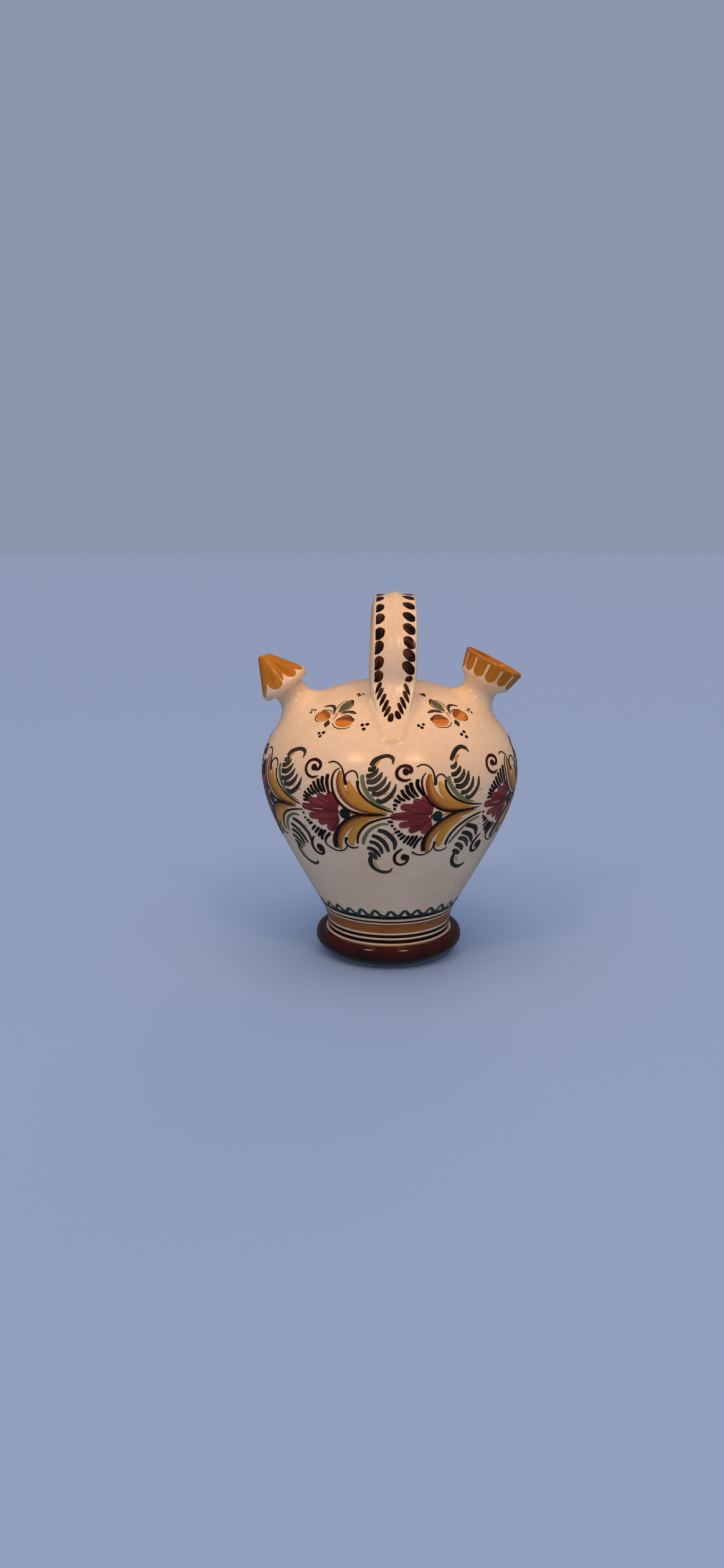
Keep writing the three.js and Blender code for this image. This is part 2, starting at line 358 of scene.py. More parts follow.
# Body: its outside as a line from the belly up over the dome and from the belly down to the waist
domeLow, domeHigh = nodeBox("upper_dome")
footHigh = nodeBox("foot_ring")[1]
body = {
    "bellyRadius": domeHigh.x,
    "bellyHeight": domeLow.z,
    "domeHeight": domeHigh.z - domeLow.z,
    "seat": footHigh.z,  # where the bowl stands on the foot
    "waistRadius": 50.8,
    "waistLength": 14.5,
    "waistRound": 11.0,  # how far the turn into the waist is rounded
    "flareAngle": 29.2,
    "flareReach": 68.0,
    "bellyReach": 29.0,
    "wall": 5.5,
    "floor": 6.0,
    "row": 1.5,  # spacing of the rows of faces
    "innerRow": 3,  # rows of the outside to one of the inside
    "turns": 288,
    "throatSides": 48,
    "throatDepth": 30.0,  # of the cut through the wall under a neck
}
flareLean = math.radians(body["flareAngle"])
waistTop = Vector((body["waistRadius"], body["seat"] + body["waistLength"]))
bowlCorners = [
    Vector((body["bellyRadius"], body["bellyHeight"])),
    Vector((body["bellyRadius"], body["bellyHeight"] - body["bellyReach"])),
    waistTop + Vector((math.sin(flareLean), math.cos(flareLean))) * body["flareReach"],
    waistTop,
]


def bowlCurve(t):
    return bezier(bowlCorners, t)


def domeCurve(t):
    angle = t * math.pi / 2
    return Vector((
        body["bellyRadius"] * math.cos(angle), body["bellyHeight"] + body["domeHeight"] * math.sin(angle),
    ))


bowlLengths = measureCurve(bowlCurve)
domeLengths = measureCurve(domeCurve)
sideLow, sideHigh = -bowlLengths[-1] - body["waistLength"], domeLengths[-1]


# Radius, height and outward direction at a distance up the side from the belly, negative below it
def meridian(distance):
    if distance >= 0:
        place, way = curveAt(domeCurve, domeLengths, min(distance, domeLengths[-1]))
        return place.x, place.y, way.y, -way.x
    if -distance < bowlLengths[-1]:
        place, way = curveAt(bowlCurve, bowlLengths, -distance)
    else:
        place = Vector((waistTop.x, waistTop.y - (-distance - bowlLengths[-1])))
        way = Vector((0, -1))
    radius, height, outR, outZ = place.x, place.y, -way.y, way.x
    off = abs(height - waistTop.y)
    if off < body["waistRound"]:
        near = body["waistRound"] - off
        radius += math.tan(flareLean) * near * near / (4 * body["waistRound"])
        lean = math.tan(flareLean) * (height - waistTop.y + body["waistRound"]) / (2 * body["waistRound"])
        outR, outZ = Vector((1, -lean)).normalized()
    return radius, height, outR, outZ


def domeHeightAt(radius):
    share = radius / body["bellyRadius"]
    return body["bellyHeight"] + body["domeHeight"] * math.sqrt(max(1 - share ** 2, 0))


# Distance up the side from the belly to a height
def sideAt(height):
    low, high = sideLow, sideHigh
    for _ in range(40):
        middle = (low + high) / 2
        if meridian(middle)[1] < height:
            low = middle
        else:
            high = middle
    return low


# Strap handle: a flat ribbed strap over the top from front to back
strapHigh = nodeBox("strap_handle")[1]
handle = {
    "archRadius": 48.5,  # to the inner face
    "thickness": 9.7,
    "innerWidth": 36.6,
    "outerWidth": 32.6,
    "topNarrow": 0.96,  # its width at the top, as a share
    "twist": 0.1,  # how far its faces are turned to one side
    "ribHeight": 2.4,
    "ribWidth": 15.0,
    "limbRib": 0.5,  # the rib's height on the limbs, as a share
    "limbReach": 60.0,
    "square": 8.0,  # how square the section's corners are
    "lean": 3.2,
    "tongueReach": 90.5,
    "tongueRise": -3.6,
    "tongueLift": 26.0,
    "tongueTurn": 15.0,
    "tongueWidth": 18.5,
    "tongueThickness": 3.4,
    "rows": 150,
    "columns": 26,
    "skirtReach": 10.0,  # the clay smoothed out on to the dome round the roots
    "skirtHeight": 3.4,
    "skirtFall": 2.4,  # how quickly it runs out
    "padFrom": 58.0,  # from here to padTo, out from the middle, the pressed end narrows
    "padTo": 84.0,
    "padBeyond": 12.0,
    "padHeight": 2.0,
    "padInset": 1.0,
    "padEdge": 6.0,
    "padLevel": 0.4,  # share of the edge that lies outside the pad
    "dent": 0.7,  # where the thumb pressed it
    "dentSize": 7.0,
}
bendRadius = handle["archRadius"] + handle["thickness"] / 2
archHeight = strapHigh.z - handle["ribHeight"] - handle["archRadius"] - handle["thickness"]
tongueStart = Vector((-handle["tongueReach"], domeHeightAt(handle["tongueReach"]) + handle["tongueRise"]))
tongueSlope = domeHeightAt(handle["tongueReach"] - 0.5) - domeHeightAt(handle["tongueReach"] + 0.5)
limbTop = Vector((-bendRadius, archHeight))
rootCorners = [
    tongueStart,
    tongueStart + Vector((1, tongueSlope)).normalized() * handle["tongueLift"],
    limbTop - Vector((0, handle["tongueTurn"])),
    limbTop,
]


def rootCurve(t):
    return bezier(rootCorners, t)


rootLengths = measureCurve(rootCurve)
halfStrap = rootLengths[-1] + bendRadius * math.pi / 2
strapRise = archHeight + bendRadius - tongueStart.y


# The strap's middle line at a distance from its top: along Y, up Z, the outward direction and how full it is
def strapLine(distance):
    fromEnd = halfStrap - abs(distance)
    if fromEnd < rootLengths[-1]:
        place, way = curveAt(rootCurve, rootLengths, max(fromEnd, 0))
        full = easeIn(fromEnd / rootLengths[-1])
    else:
        angle = abs(distance) / bendRadius
        place = Vector((-bendRadius * math.sin(angle), archHeight + bendRadius * math.cos(angle)))
        way = heading(angle)
        full = 1.0
    facing = 1 if distance >= 0 else -1
    return place.x * facing, place.y, -way.y * facing, way.x, full


# How far down the limbs a place is, as a share
def limbShare(distance):
    return easeIn(abs(distance) / handle["limbReach"])


def strapNarrow(full, limb):
    tongue = blendBetween(handle["tongueWidth"] / handle["innerWidth"], 1, full)
    return tongue * blendBetween(handle["topNarrow"], 1, limb)


# A point of the strap's section: share across from -1 to 1, on the outer or the inner face
def strapSection(across, outer, full, limb, lift):
    thin = blendBetween(handle["tongueThickness"] / handle["thickness"], 1, full)
    roundness = max(1 - abs(across) ** handle["square"], 0) ** (1 / handle["square"])
    share = (roundness + 1) / 2 if outer else (1 - roundness) / 2
    width = blendBetween(handle["innerWidth"], handle["outerWidth"], share) * strapNarrow(full, limb)
    height = handle["thickness"] / 2 * roundness * thin
    if outer:
        rib = max(1 - abs(across * width / handle["ribWidth"]), 0)
        height += handle["ribHeight"] * easeIn(rib) * thin * blendBetween(1, handle["limbRib"], limb) + lift
    else:
        height = -height
    return across * width / 2 + handle["twist"] * height, height


def strapLean(up):
    return handle["lean"] * (up - tongueStart.y) / strapRise


def strapPoint(across, outer, distance, lift=0):
    along, up, outY, outZ, full = strapLine(distance)
    x, height = strapSection(across, outer, full, limbShare(distance), lift)
    return Vector((strapLean(up) + x, along + outY * height, up + outZ * height))


# How far the dome swells round the roots of the handle, where the joint was smoothed and pressed by hand
def handleSwell(x, y, z):
    reach, tip = abs(y), handle["padTo"]
    skirtStart = handle["archRadius"] - handle["skirtReach"]
    if z < body["bellyHeight"] or not skirtStart < reach < tip + handle["padBeyond"]:
        return 0.0
    x -= strapLean(z)
    narrowing = min(max((reach - handle["padFrom"]) / (tip - handle["padFrom"]), 0), 1)
    half = blendBetween(handle["innerWidth"] / 2 - handle["padInset"], handle["tongueWidth"] / 2, narrowing)
    slope = math.hypot(1, tongueSlope)
    outside = math.hypot(x, max(reach - tip, 0) * slope) - half
    swell = handle["padHeight"] * easeIn(handle["padLevel"] - outside / handle["padEdge"])
    skirt = max(1 - max(outside, 0) / handle["skirtReach"], 0) ** handle["skirtFall"]
    swell += handle["skirtHeight"] * (1 - narrowing) * skirt
    swell *= easeIn((reach - handle["archRadius"]) / handle["skirtReach"] + 1)
    pressed = math.hypot(x, (reach - tip) * slope) / handle["dentSize"]
    return swell - handle["dent"] * math.exp(-pressed * pressed)


# Height of the dome over a point, with the swell that is pressed on along its normal
def swollenDome(x, y, lift):
    radius = base = math.hypot(x, y)
    for _ in range(4):
        height = domeHeightAt(base)
        steep = body["domeHeight"] ** 2 / body["bellyRadius"] ** 2 * base / (height - body["bellyHeight"])
        upright = 1 / math.hypot(1, steep)
        rise = handleSwell(x * base / radius, y * base / radius, height) + lift
        base = radius - steep * upright * rise
    return height + upright * rise


# A place on the body's outside: azimuth 0 is the front and grows to the right
def skin(azimuth, distance, lift=0):
    radius, height, outR, outZ = meridian(distance)
    turnX, turnY = math.sin(azimuth), -math.cos(azimuth)
    lift += handleSwell(radius * turnX, radius * turnY, height)
    radius += outR * lift
    return Vector((radius * turnX, radius * turnY, height + outZ * lift))


# Tilted necks: a frame with its axis leaning out along X, on the dome
def neckFrame(neck):
    lean, forward = math.radians(neck["tilt"]) * neck["side"], math.radians(neck["forward"])
    origin = Vector((neck["offset"] * neck["side"], 0, domeHeightAt(neck["offset"])))
    upright = math.cos(forward)
    axis = Vector((math.sin(lean) * upright, -math.sin(forward), math.cos(lean) * upright))
    across = Vector((math.cos(lean), 0, -math.sin(lean)))
    return origin, axis, across, axis.cross(across)


def neckPoint(neck, radius, height, turn):
    origin, axis, across, sideways = neck["frame"]
    return origin + axis * height + (across * math.cos(turn) + sideways * math.sin(turn)) * radius


# Height along a neck's axis at which a line beside it meets the dome
def domeAlong(neck, radius, turn):
    shrink = Vector((1 / body["bellyRadius"], 1 / body["bellyRadius"], 1 / body["domeHeight"]))
    start = (neckPoint(neck, radius, 0, turn) - Vector((0, 0, body["bellyHeight"]))) * shrink
    way = neck["frame"][1] * shrink
    a, b, c = way.dot(way), start.dot(way), start.dot(start) - 1
    return (-b + math.sqrt(max(b * b - a * c, 0))) / a


# The fillet of clay from a neck's side out on to the dome, ending just under its glaze
fillet = {
    "clear": 0.3,  # of the neck's top
    "fall": 0.75,  # how far down the neck it starts to turn, as a share of its rise
    "sweep": 0.55,  # how far in from its edge it starts to lift, as a share of its reach
    "proud": 0.03,
    "feather": [(1.2, 0.02), (2.4, 0.07), (3.2, 0.4)],  # past its edge, and depth under the glaze
    "under": (1.0, 3.0),  # in from its edge and down, inside the wall
    "sink": 1.0,  # how far the neck reaches into the hollow
}


def neckBottom(neck, turn):
    return domeAlong(neck, neck["throat"], turn) - body["wall"] - fillet["sink"]


def neckFillet(neck, turn):
    landing = neck["neck"] + neck["reach"]
    low = domeAlong(neck, landing, turn)
    slope = low - domeAlong(neck, landing - 1, turn)
    root = domeAlong(neck, neck["neck"], turn)
    rise = min(root + neck["rise"], neck["neckLength"] - fillet["clear"])
    sweep = fillet["sweep"] * neck["reach"]
    line = curveLine(
        (neck["neck"], rise), (neck["neck"], rise - fillet["fall"] * neck["rise"]),
        (landing - sweep, low - sweep * slope), (landing, low + fillet["proud"]), steps=16,
    )
    for beyond, under in fillet["feather"]:
        line.append(Vector((landing + beyond, domeAlong(neck, landing + beyond, turn) - under)))
    inwards, down = fillet["under"]
    line.append(Vector((landing - inwards, low - down)))
    return line + [Vector(((neck["throat"] + neck["neck"]) / 2, neckBottom(neck, turn)))]


# A closed ring of rows round a neck's axis; outline(turn) gives the same number of points at each turn
def neckPiece(neck, outline, name, glaze, nodes):
    bm = bmesh.new()
    rise = bm.verts.layers.float.new("rise")
    turns = neck["turns"]
    lines = [outline(2 * math.pi * i / turns) for i in range(turns)]
    rows = len(lines[0])
    top = max(range(rows), key=lambda row: lines[0][row].y)
    made = bmesh.ops.create_grid(bm, x_segments=turns, y_segments=rows, size=1)
    for vert in made["verts"]:
        column = round((vert.co.x + 1) / 2 * turns) % turns
        row = round((vert.co.y + 1) / 2 * rows) % rows
        spot = lines[column][row]
        vert[rise] = spot.y + (neck["insideOchre"] if row < top else 0)
        vert.co = neckPoint(neck, spot.x, spot.y, 2 * math.pi * column / turns)
    bmesh.ops.remove_doubles(bm, verts=bm.verts, dist=0.0005)
    bmesh.ops.recalc_face_normals(bm, faces=bm.faces)
    return finishPiece(bm, name, neckGlaze(glaze, neck["ochreFrom"]), nodes)


mouth = {
    "side": 1,
    "offset": body["bellyRadius"] - 36.2,
    "tilt": 27.2,  # outwards, in degrees
    "forward": 1.5,  # and towards the front
    "throat": 9.6,
    "throatStart": 4.0,
    "neck": 13.8,
    "neckLength": 10.7,
    "collarStart": 19.3,
    "collarRound": 1.0,
    "collarDraft": 0.3,
    "collar": 20.8,
    "rimStart": 36.2,
    "rim": 24.5,
    "lip": 4.0,
    "cupFloor": 17.5,
    "cupRound": 3.0,
    "reach": 15.0,
    "rise": 11.0,
    "ochreFrom": 32.6,
    "insideOchre": 12.0,  # how much farther down it reaches inside
    "turns": 96,
}
mouth["frame"] = neckFrame(mouth)
collarLow = Vector((mouth["collar"], mouth["collarStart"] + mouth["collarRound"]))
collarHigh = Vector((mouth["rim"], mouth["rimStart"] - mouth["lip"] / 2))


def mouthOutline(turn):
    throat, neck, start, full = (mouth[name] for name in ("throat", "neck", "collarStart", "cupRound"))
    line = [Vector((throat, neckBottom(mouth, turn))), Vector((throat, mouth["throatStart"]))]
    line += curveLine(
        (throat, mouth["cupFloor"]), (throat + full, mouth["cupFloor"] + full),
        (mouth["collar"] - mouth["lip"], start + full), (mouth["rim"] - mouth["lip"], collarHigh.y), steps=14,
    )
    lip = mouth["lip"] / 2
    line += arcLine(Vector((mouth["rim"] - lip, collarHigh.y)), lip, 180, 0, 12)[1:]
    line += [collarHigh.lerp(collarLow, i / 6) for i in range(1, 7)]
    line += curveLine(
        collarLow, (mouth["collar"] - mouth["collarDraft"], start - full), (neck, start - full),
        (neck, mouth["neckLength"]), steps=12,
    )[1:]
    return line + neckFillet(mouth, turn)


spout = {
    "side": -1,
    "offset": body["bellyRadius"] - 31.4,
    "tilt": 36.3,
    "forward": 0.0,
    "throat": 8.2,
    "neck": 12.4,
    "neckLength": 13.5,
    "coneStart": 21.0,
    "cone": 20.4,
    "coneRound": 4.6,
    "coneEdge": 33.0,  # degrees up at which the rounded edge meets the cone's side
    "coneWall": 5.0,
    "tipEnd": 48.3,
    "tip": 5.1,
    "tipSkew": 1.5,  # cut lower on the side that faces the handle
    "tipRound": 1.0,
    "tipEdge": 30.0,
    "tipBore": 2.2,
    "tipBoreRound": 0.8,
    "tipBoreLength": 6.0,
    "reach": 18.0,
    "rise": 12.5,
    "ochreFrom": 28.8,
    "insideOchre": 0.0,
    "turns": 96,
}
spout["frame"] = neckFrame(spout)
coneMiddle = Vector((spout["cone"] - spout["coneRound"], spout["coneStart"]))


def spoutTip(turn):
    return spout["tipEnd"] - spout["tipSkew"] * math.cos(turn)


# The middle of the rounding at the cone's tip
def tipMiddle(turn):
    return Vector((spout["tip"] - spout["tipRound"], spoutTip(turn) - spout["tipRound"]))


def spoutOutline(turn):
    throat, neck, bore, low = spout["throat"], spout["neck"], spout["tipBore"], spout["tipBoreRound"]
    tip, roundness = spoutTip(turn), spout["coneRound"]
    line = [
        Vector((throat, neckBottom(spout, turn))),
        Vector((throat, spout["neckLength"])),
        Vector((coneMiddle.x - spout["coneWall"], coneMiddle.y + roundness)),
        Vector((bore, spout["tipEnd"] - spout["tipBoreLength"])),
    ]
    line += arcLine(Vector((bore + low, tip - low)), low, 180, 90, 4)
    line += arcLine(tipMiddle(turn), spout["tipRound"], 90, spout["tipEdge"], 5)
    edge = arcLine(coneMiddle, roundness, spout["coneEdge"], -90, 12)
    line += [line[-1].lerp(edge[0], i / 10) for i in range(1, 10)] + edge
    under = coneMiddle.y - roundness
    line += curveLine(
        edge[-1], (blendBetween(edge[-1].x, neck, 0.5), under), (neck, under), (neck, spout["neckLength"]),
    )[1:]
    return line + neckFillet(spout, turn)


# The two throats that open the hollow into the necks, each a little wider than the neck's own bore
def cutThroats(piece):
    bm = bmesh.new()
    for neck in (mouth, spout):
        made = bmesh.ops.create_cone(
            bm, cap_ends=True, segments=body["throatSides"], radius1=1, radius2=1, depth=body["throatDepth"],
        )
        for vert in made["verts"]:
            turn = math.atan2(vert.co.y, vert.co.x)
            vert.co = neckPoint(neck, (neck["throat"] + neck["neck"]) / 2, vert.co.z, turn) * metres
    cutter = addObject("throats", meshFrom(bm, "throats"))
    modifier = piece.modifiers.new("throats", "BOOLEAN")
    modifier.object = cutter
    modifier.operation = "DIFFERENCE"
    modifier.solver = "EXACT"
    bpy.context.view_layer.update()
    graph = bpy.context.evaluated_depsgraph_get()
    cut = bpy.data.meshes.new_from_object(piece.evaluated_get(graph))
    piece.modifiers.clear()
    old = piece.data
    piece.data = cut
    bpy.data.meshes.remove(old)
    cut.name = piece.name
    bpy.data.objects.remove(cutter)


def makeBody():
    bm = bmesh.new()
    wall, seat = body["wall"], body["seat"]
    top = body["bellyHeight"] + body["domeHeight"]
    rows = math.ceil((sideHigh - sideLow) / body["row"])
    outside = [meridian(blendBetween(sideLow, sideHigh, i / rows))[:2] for i in range(1, rows)]
    turnLine(bm, [(0, seat), (body["waistRadius"], seat)] + outside + [(0, top)], body["turns"])
    for vert in bm.verts:
        if vert.co.z > body["bellyHeight"]:
            slope = Vector((
                vert.co.x / body["bellyRadius"] ** 2, vert.co.y / body["bellyRadius"] ** 2,
                (vert.co.z - body["bellyHeight"]) / body["domeHeight"] ** 2,
            ))
            vert.co += slope.normalized() * handleSwell(*vert.co)
    floor = seat + body["floor"]
    rows //= body["innerRow"]
    inside = []
    for i in range(rows):
        radius, height, outR, outZ = meridian(blendBetween(sideLow, sideHigh, i / rows))
        radius, height = radius - outR * wall, height - outZ * wall
        if height > floor + wall and radius > 1:
            inside.append((radius, height))
    corner = (inside[0][0] - wall, floor)
    hollow = turnLine(bm, [(0, floor), corner] + inside + [(0, top - wall)], body["turns"])
    bmesh.ops.reverse_faces(bm, faces=hollow)  # the inner wall faces the hollow
    piece = finishPiece(
        bm, "glazed_body", creamGlaze(rings=True),
        ("lower_bowl", "upper_dome", "front_handle_wad", "rear_handle_wad"),
    )
    cutThroats(piece)
    return piece


# The foot and its brown glaze: a glossy iron glaze, dark where it pools and redder where it runs thin over
# edges, wiped off the clay at the very bottom
footShape = {
    "stand": 47.7,  # outer edge of the standing face
    "standWidth": 10.0,
    "toe": (0.8, 0.3),  # its rounded corner, out and up
    "flank": (0.45, 3.2),  # share of the way out to the widest point, and height
    "belly": (0.7, 8.0),  # in from the widest point, and height
    "wide": footHigh.x + 1.1,
    "wideHeight": 12.5,
    "shoulder": (0.55, 0.9, 0.4),  # share of the way up, in from the widest point, and down from the top
    "top": footHigh.z + 0.8,
    "topInset": 4.7,  # from the widest point to where its top is level
    "gully": (1.4, 0.15, 2.0, 0.9),  # in and up from there, then out from the waist and down
    "seam": (0.1, 0.3),  # out from the waist, and up
    "ledge": 2.0,  # how far its top reaches in under the bowl
    "seatWidth": 10.0,
    "seatDepth": 0.2,
    "turns": 192,
    "pooled": "#150706",
    "thin": "#38130d",
    "thinFrom": 9.0,  # heights between which the glaze gets thinner
    "thinTo": 17.0,
    "thinness": 0.45,
    "cloud": 16.0,
    "bare": "#d8bd9a",  # unglazed clay
    "bareTo": 1.3,
    "cream": "#c9b2a0",
    "creamTo": 52.3,  # radius up to which its top is still cream
    "blur": 0.2,
    "roughness": 0.1,
}


def footGlaze():
    s = footShape
    material, add, place = newMaterial("brown_iron_glaze")
    height = add("SeparateXYZ", {"Vector": place}).outputs["Z"]
    cloud = add("TexNoise", {"Vector": place}, {"Scale": scaleFor(s["cloud"]), "Detail": 3})
    thin = add(
        "MapRange", {"Value": height},
        {"From Min": s["thinFrom"] * metres, "From Max": s["thinTo"] * metres, "To Max": s["thinness"]},
    )
    both = add("Math", {0: cloud, 1: thin}, operation="ADD")
    brown = add("ValToRGB", {"Fac": both}, stops=[(0.35, s["pooled"]), (0.95, s["thin"])])
    flat = add("VectorMath", {0: place}, {1: (1, 1, 0)}, operation="MULTIPLY")
    radius = add("VectorMath", {0: flat}, operation="LENGTH")
    bare, inner = (
        add(
            "MapRange", {"Value": source},
            {
                "From Min": (s[limit] - s["blur"]) * metres, "From Max": (s[limit] + s["blur"]) * metres,
                "To Min": 1.0, "To Max": 0.0,
            },
        )
        for source, limit in ((height, "bareTo"), (radius, "creamTo"))
    )
    onTop = add("Math", {0: height}, {1: s["wideHeight"] * metres}, operation="GREATER_THAN")
    cream = add("Math", {0: inner, 1: onTop}, operation="MULTIPLY")
    colour = brown
    for cover, name in ((bare, "bare"), (cream, "cream")):
        colour = add("Mix", {"Factor": cover, "A": colour}, {"B": hexColour(s[name])}, data_type="RGBA")
    closeMaterial(add, place, colour, s["roughness"])
    return material


def makeFoot():
    s = footShape
    stand, wide, top, waist = s["stand"], s["wide"], s["top"], body["waistRadius"]
    level = wide - s["topInset"]
    (toeOut, toeUp), (flank, flankUp), (bellyIn, bellyUp) = s["toe"], s["flank"], s["belly"]
    share, shoulderIn, shoulderDown = s["shoulder"]
    gullyIn, gullyUp, waistOut, waistDown = s["gully"]
    seamOut, seamUp = s["seam"]
    line = [Vector((stand - s["standWidth"], 0)), Vector((stand, 0))]
    line += curveLine(
        (stand + toeOut, toeUp), (blendBetween(stand, wide, flank), flankUp), (wide - bellyIn, bellyUp),
        (wide, s["wideHeight"]), steps=14,
    )
    line += curveLine(
        line[-1], (wide, blendBetween(s["wideHeight"], top, share)), (wide - shoulderIn, top - shoulderDown),
        (level, top), steps=12,
    )[1:]
    line += curveLine(
        line[-1], (level - gullyIn, top + gullyUp), (waist + waistOut, top - waistDown),
        (waist + seamOut, top + seamUp), steps=8,
    )[1:]
    line += [Vector((waist - s["ledge"], top)), Vector((waist - s["seatWidth"], footHigh.z - s["seatDepth"]))]
    bm = bmesh.new()
    turnLine(bm, line, s["turns"], closed=True)
    for edge in bm.edges:
        if max(vert.co.z for vert in edge.verts) < 0.1:  # the standing face keeps sharp edges
            edge.smooth = False
    return finishPiece(bm, "brown_foot", footGlaze(), ("foot_ring",))


def makeHandle():
    bm = bmesh.new()
    columns, rows = handle["columns"], handle["rows"]
    made = bmesh.ops.create_grid(bm, x_segments=2 * columns, y_segments=rows, size=1)
    for vert in made["verts"]:
        column = round((vert.co.x + 1) * columns) % (2 * columns)
        outer = column < columns
        across = -math.cos(math.pi * column / columns)  # to the right on the outer face and back on the inner
        vert.co = strapPoint(across, outer, vert.co.y * halfStrap)
    bmesh.ops.remove_doubles(bm, verts=bm.verts, dist=0.0005)
    ends = [edge for edge in bm.edges if edge.is_boundary]
    bmesh.ops.holes_fill(bm, edges=ends, sides=0)
    bmesh.ops.recalc_face_normals(bm, faces=bm.faces)
    return finishPiece(bm, "strap_handle_glazed", creamGlaze(rings=False), ("strap_handle",))


# A smooth line through a few points, with its steps closer together at the ends, and its length
def smoothLine(points, steps):
    spots = [points[0] * 2 - points[1]] + points + [points[-1] * 2 - points[-2]]
    fine = []
    for a, b, c, d in zip(spots, spots[1:], spots[2:], spots[3:]):
        for i in range(10):
            t = i / 10
            bend, twist = a * 2 - b * 5 + c * 4 - d, b * 3 - a - c * 3 + d
            fine.append((b * 2 + (c - a) * t + bend * t ** 2 + twist * t ** 3) / 2)
    fine.append(spots[-2])
    lengths = [0.0]
    for a, b in zip(fine, fine[1:]):
        lengths.append(lengths[-1] + (b - a).length)
    line = []
    for i in range(steps + 1):
        goal = lengths[-1] * (1 - math.cos(math.pi * i / steps)) / 2
        k = min(max(bisect.bisect_right(lengths, goal) - 1, 0), len(fine) - 2)
        share = (goal - lengths[k]) / max(lengths[k + 1] - lengths[k], 1e-6)
        line.append((fine[k].lerp(fine[k + 1], share), goal))
    return line, lengths[-1]


brush = {
    "crown": 0.004,  # how far a stroke stands up in its middle
    "lift": 0.025,  # of each layer of paint
    "depth": 0.3,  # how far it reaches into the glaze
    "across": 1.2,  # mm between its rows of points across
    "leastAcross": 4,
    "along": 1.6,  # points to a millimetre along it
    "steps": (12, 72),
    "unevenness": 0.04,  # of its width, from stroke to stroke
    "square": 0.35,  # how round a blunt start still is
    "leastCap": 0.05,
    "leastEnd": 0.08,
    "nudge": 0.1,  # mm between places that show how the surface runs
    "roughness": 0.16,
    "gloss": 0.3,
    "drawn": 0.045,  # how quickly the bristles' streaks change along a millimetre
    "apart": 90.0,  # how far one stroke's streaks lie from another's
    "shadeFrom": -0.85,  # across the stroke, where a darker load runs out
    "shadeTo": 0.3,
    "poolFrom": 0.55,
}
strokeLayers = ("side", "travel", "along", "tone")


# Half of a stroke's width at a distance along it, with its ends rounded
def halfWidth(widths, goal, length, blunt):
    spot = goal / length * (len(widths) - 1)
    i = min(int(spot), len(widths) - 2)
    half = blendBetween(widths[i], widths[i + 1], easeIn(spot - i)) / 2
    start = widths[0] * (brush["square"] if blunt else 1)
    for end, width in ((goal, start), (length - goal, widths[-1])):
        cap = max(width / 2, brush["leastCap"])
        if end < cap:
            half *= max(math.sqrt(max(1 - (1 - end / cap) ** 2, 0)), brush["leastEnd"])
    return half


# The step in u and w that goes a millimetre to the left of a stroke's way on the surface
def leftStep(place, spot, way):
    u, w = spot
    nudge = brush["nudge"]
    alongU = (place(u + nudge, w, 0) - place(u - nudge, w, 0)) / (2 * nudge)
    alongW = (place(u, w + nudge, 0) - place(u, w - nudge, 0)) / (2 * nudge)
    out = alongU.cross(alongW).normalized()
    left = out.cross(alongU * way.x + alongW * way.y).normalized()
    uu, uw, ww = alongU.dot(alongU), alongU.dot(alongW), alongW.dot(alongW)
    lu, lw = left.dot(alongU), left.dot(alongW)
    return Vector((lu * ww - lw * uw, lw * uu - lu * uw)) / (uu * ww - uw * uw)


class Paint:
    # one colour of paint: many strokes that become one piece
    def __init__(self):
        self.bm = bmesh.new()
        self.layers = [self.bm.verts.layers.float.new(name) for name in strokeLayers]
        self.under = self.bm.verts.layers.float_vector.new("under")

    # place(u, w, lift) is a point of the surface; u and w are millimetres on it
    def stroke(self, place, points, widths, layer=0, shake=0.0, blunt=False):
        jitter = Vector((dice.gauss(0, shake), dice.gauss(0, shake)))
        rough = sum((Vector(b) - Vector(a)).length for a, b in zip(points, points[1:]))
        least, most = brush["steps"]
        steps = max(least, min(most, round(brush["along"] * rough)))
        line, length = smoothLine([Vector(point) + jitter for point in points], steps)
        tone = dice.random()
        swell = 1 + dice.gauss(0, brush["unevenness"]) if shake else 1
        rows = []
        for i, (spot, goal) in enumerate(line):
            way = (line[min(i + 1, steps)][0] - line[max(i - 1, 0)][0]).normalized()
            aside = leftStep(place, spot, way) * halfWidth(widths, goal, length, blunt) * swell
            rows.append((spot, aside, goal))
        across = max(brush["leastAcross"], round(max(widths) / brush["across"]))
        made = bmesh.ops.create_grid(self.bm, x_segments=steps, y_segments=across, size=1)
        for vert in made["verts"]:
            spot, aside, goal = rows[round((vert.co.x + 1) / 2 * steps)]
            side = vert.co.y
            for name, value in zip(self.layers, (side, goal / length, goal, tone)):
                vert[name] = value
            u, w = spot + aside * side
            vert[self.under] = place(u, w, -brush["depth"])
            vert.co = place(u, w, brush["lift"] * (1 + layer) + brush["crown"] * (1 - side * side))

    def finish(self, name, material, slot):
        for edge in self.bm.edges:
            edge.smooth = not edge.is_boundary
        made = bmesh.ops.extrude_face_region(self.bm, geom=self.bm.faces[:])
        for vert in made["geom"]:
            if isinstance(vert, bmesh.types.BMVert):
                vert.co = vert[self.under]
        self.bm.verts.layers.float_vector.remove(self.under)
        bmesh.ops.recalc_face_normals(self.bm, faces=self.bm.faces[:])
        return finishPiece(self.bm, name, material)


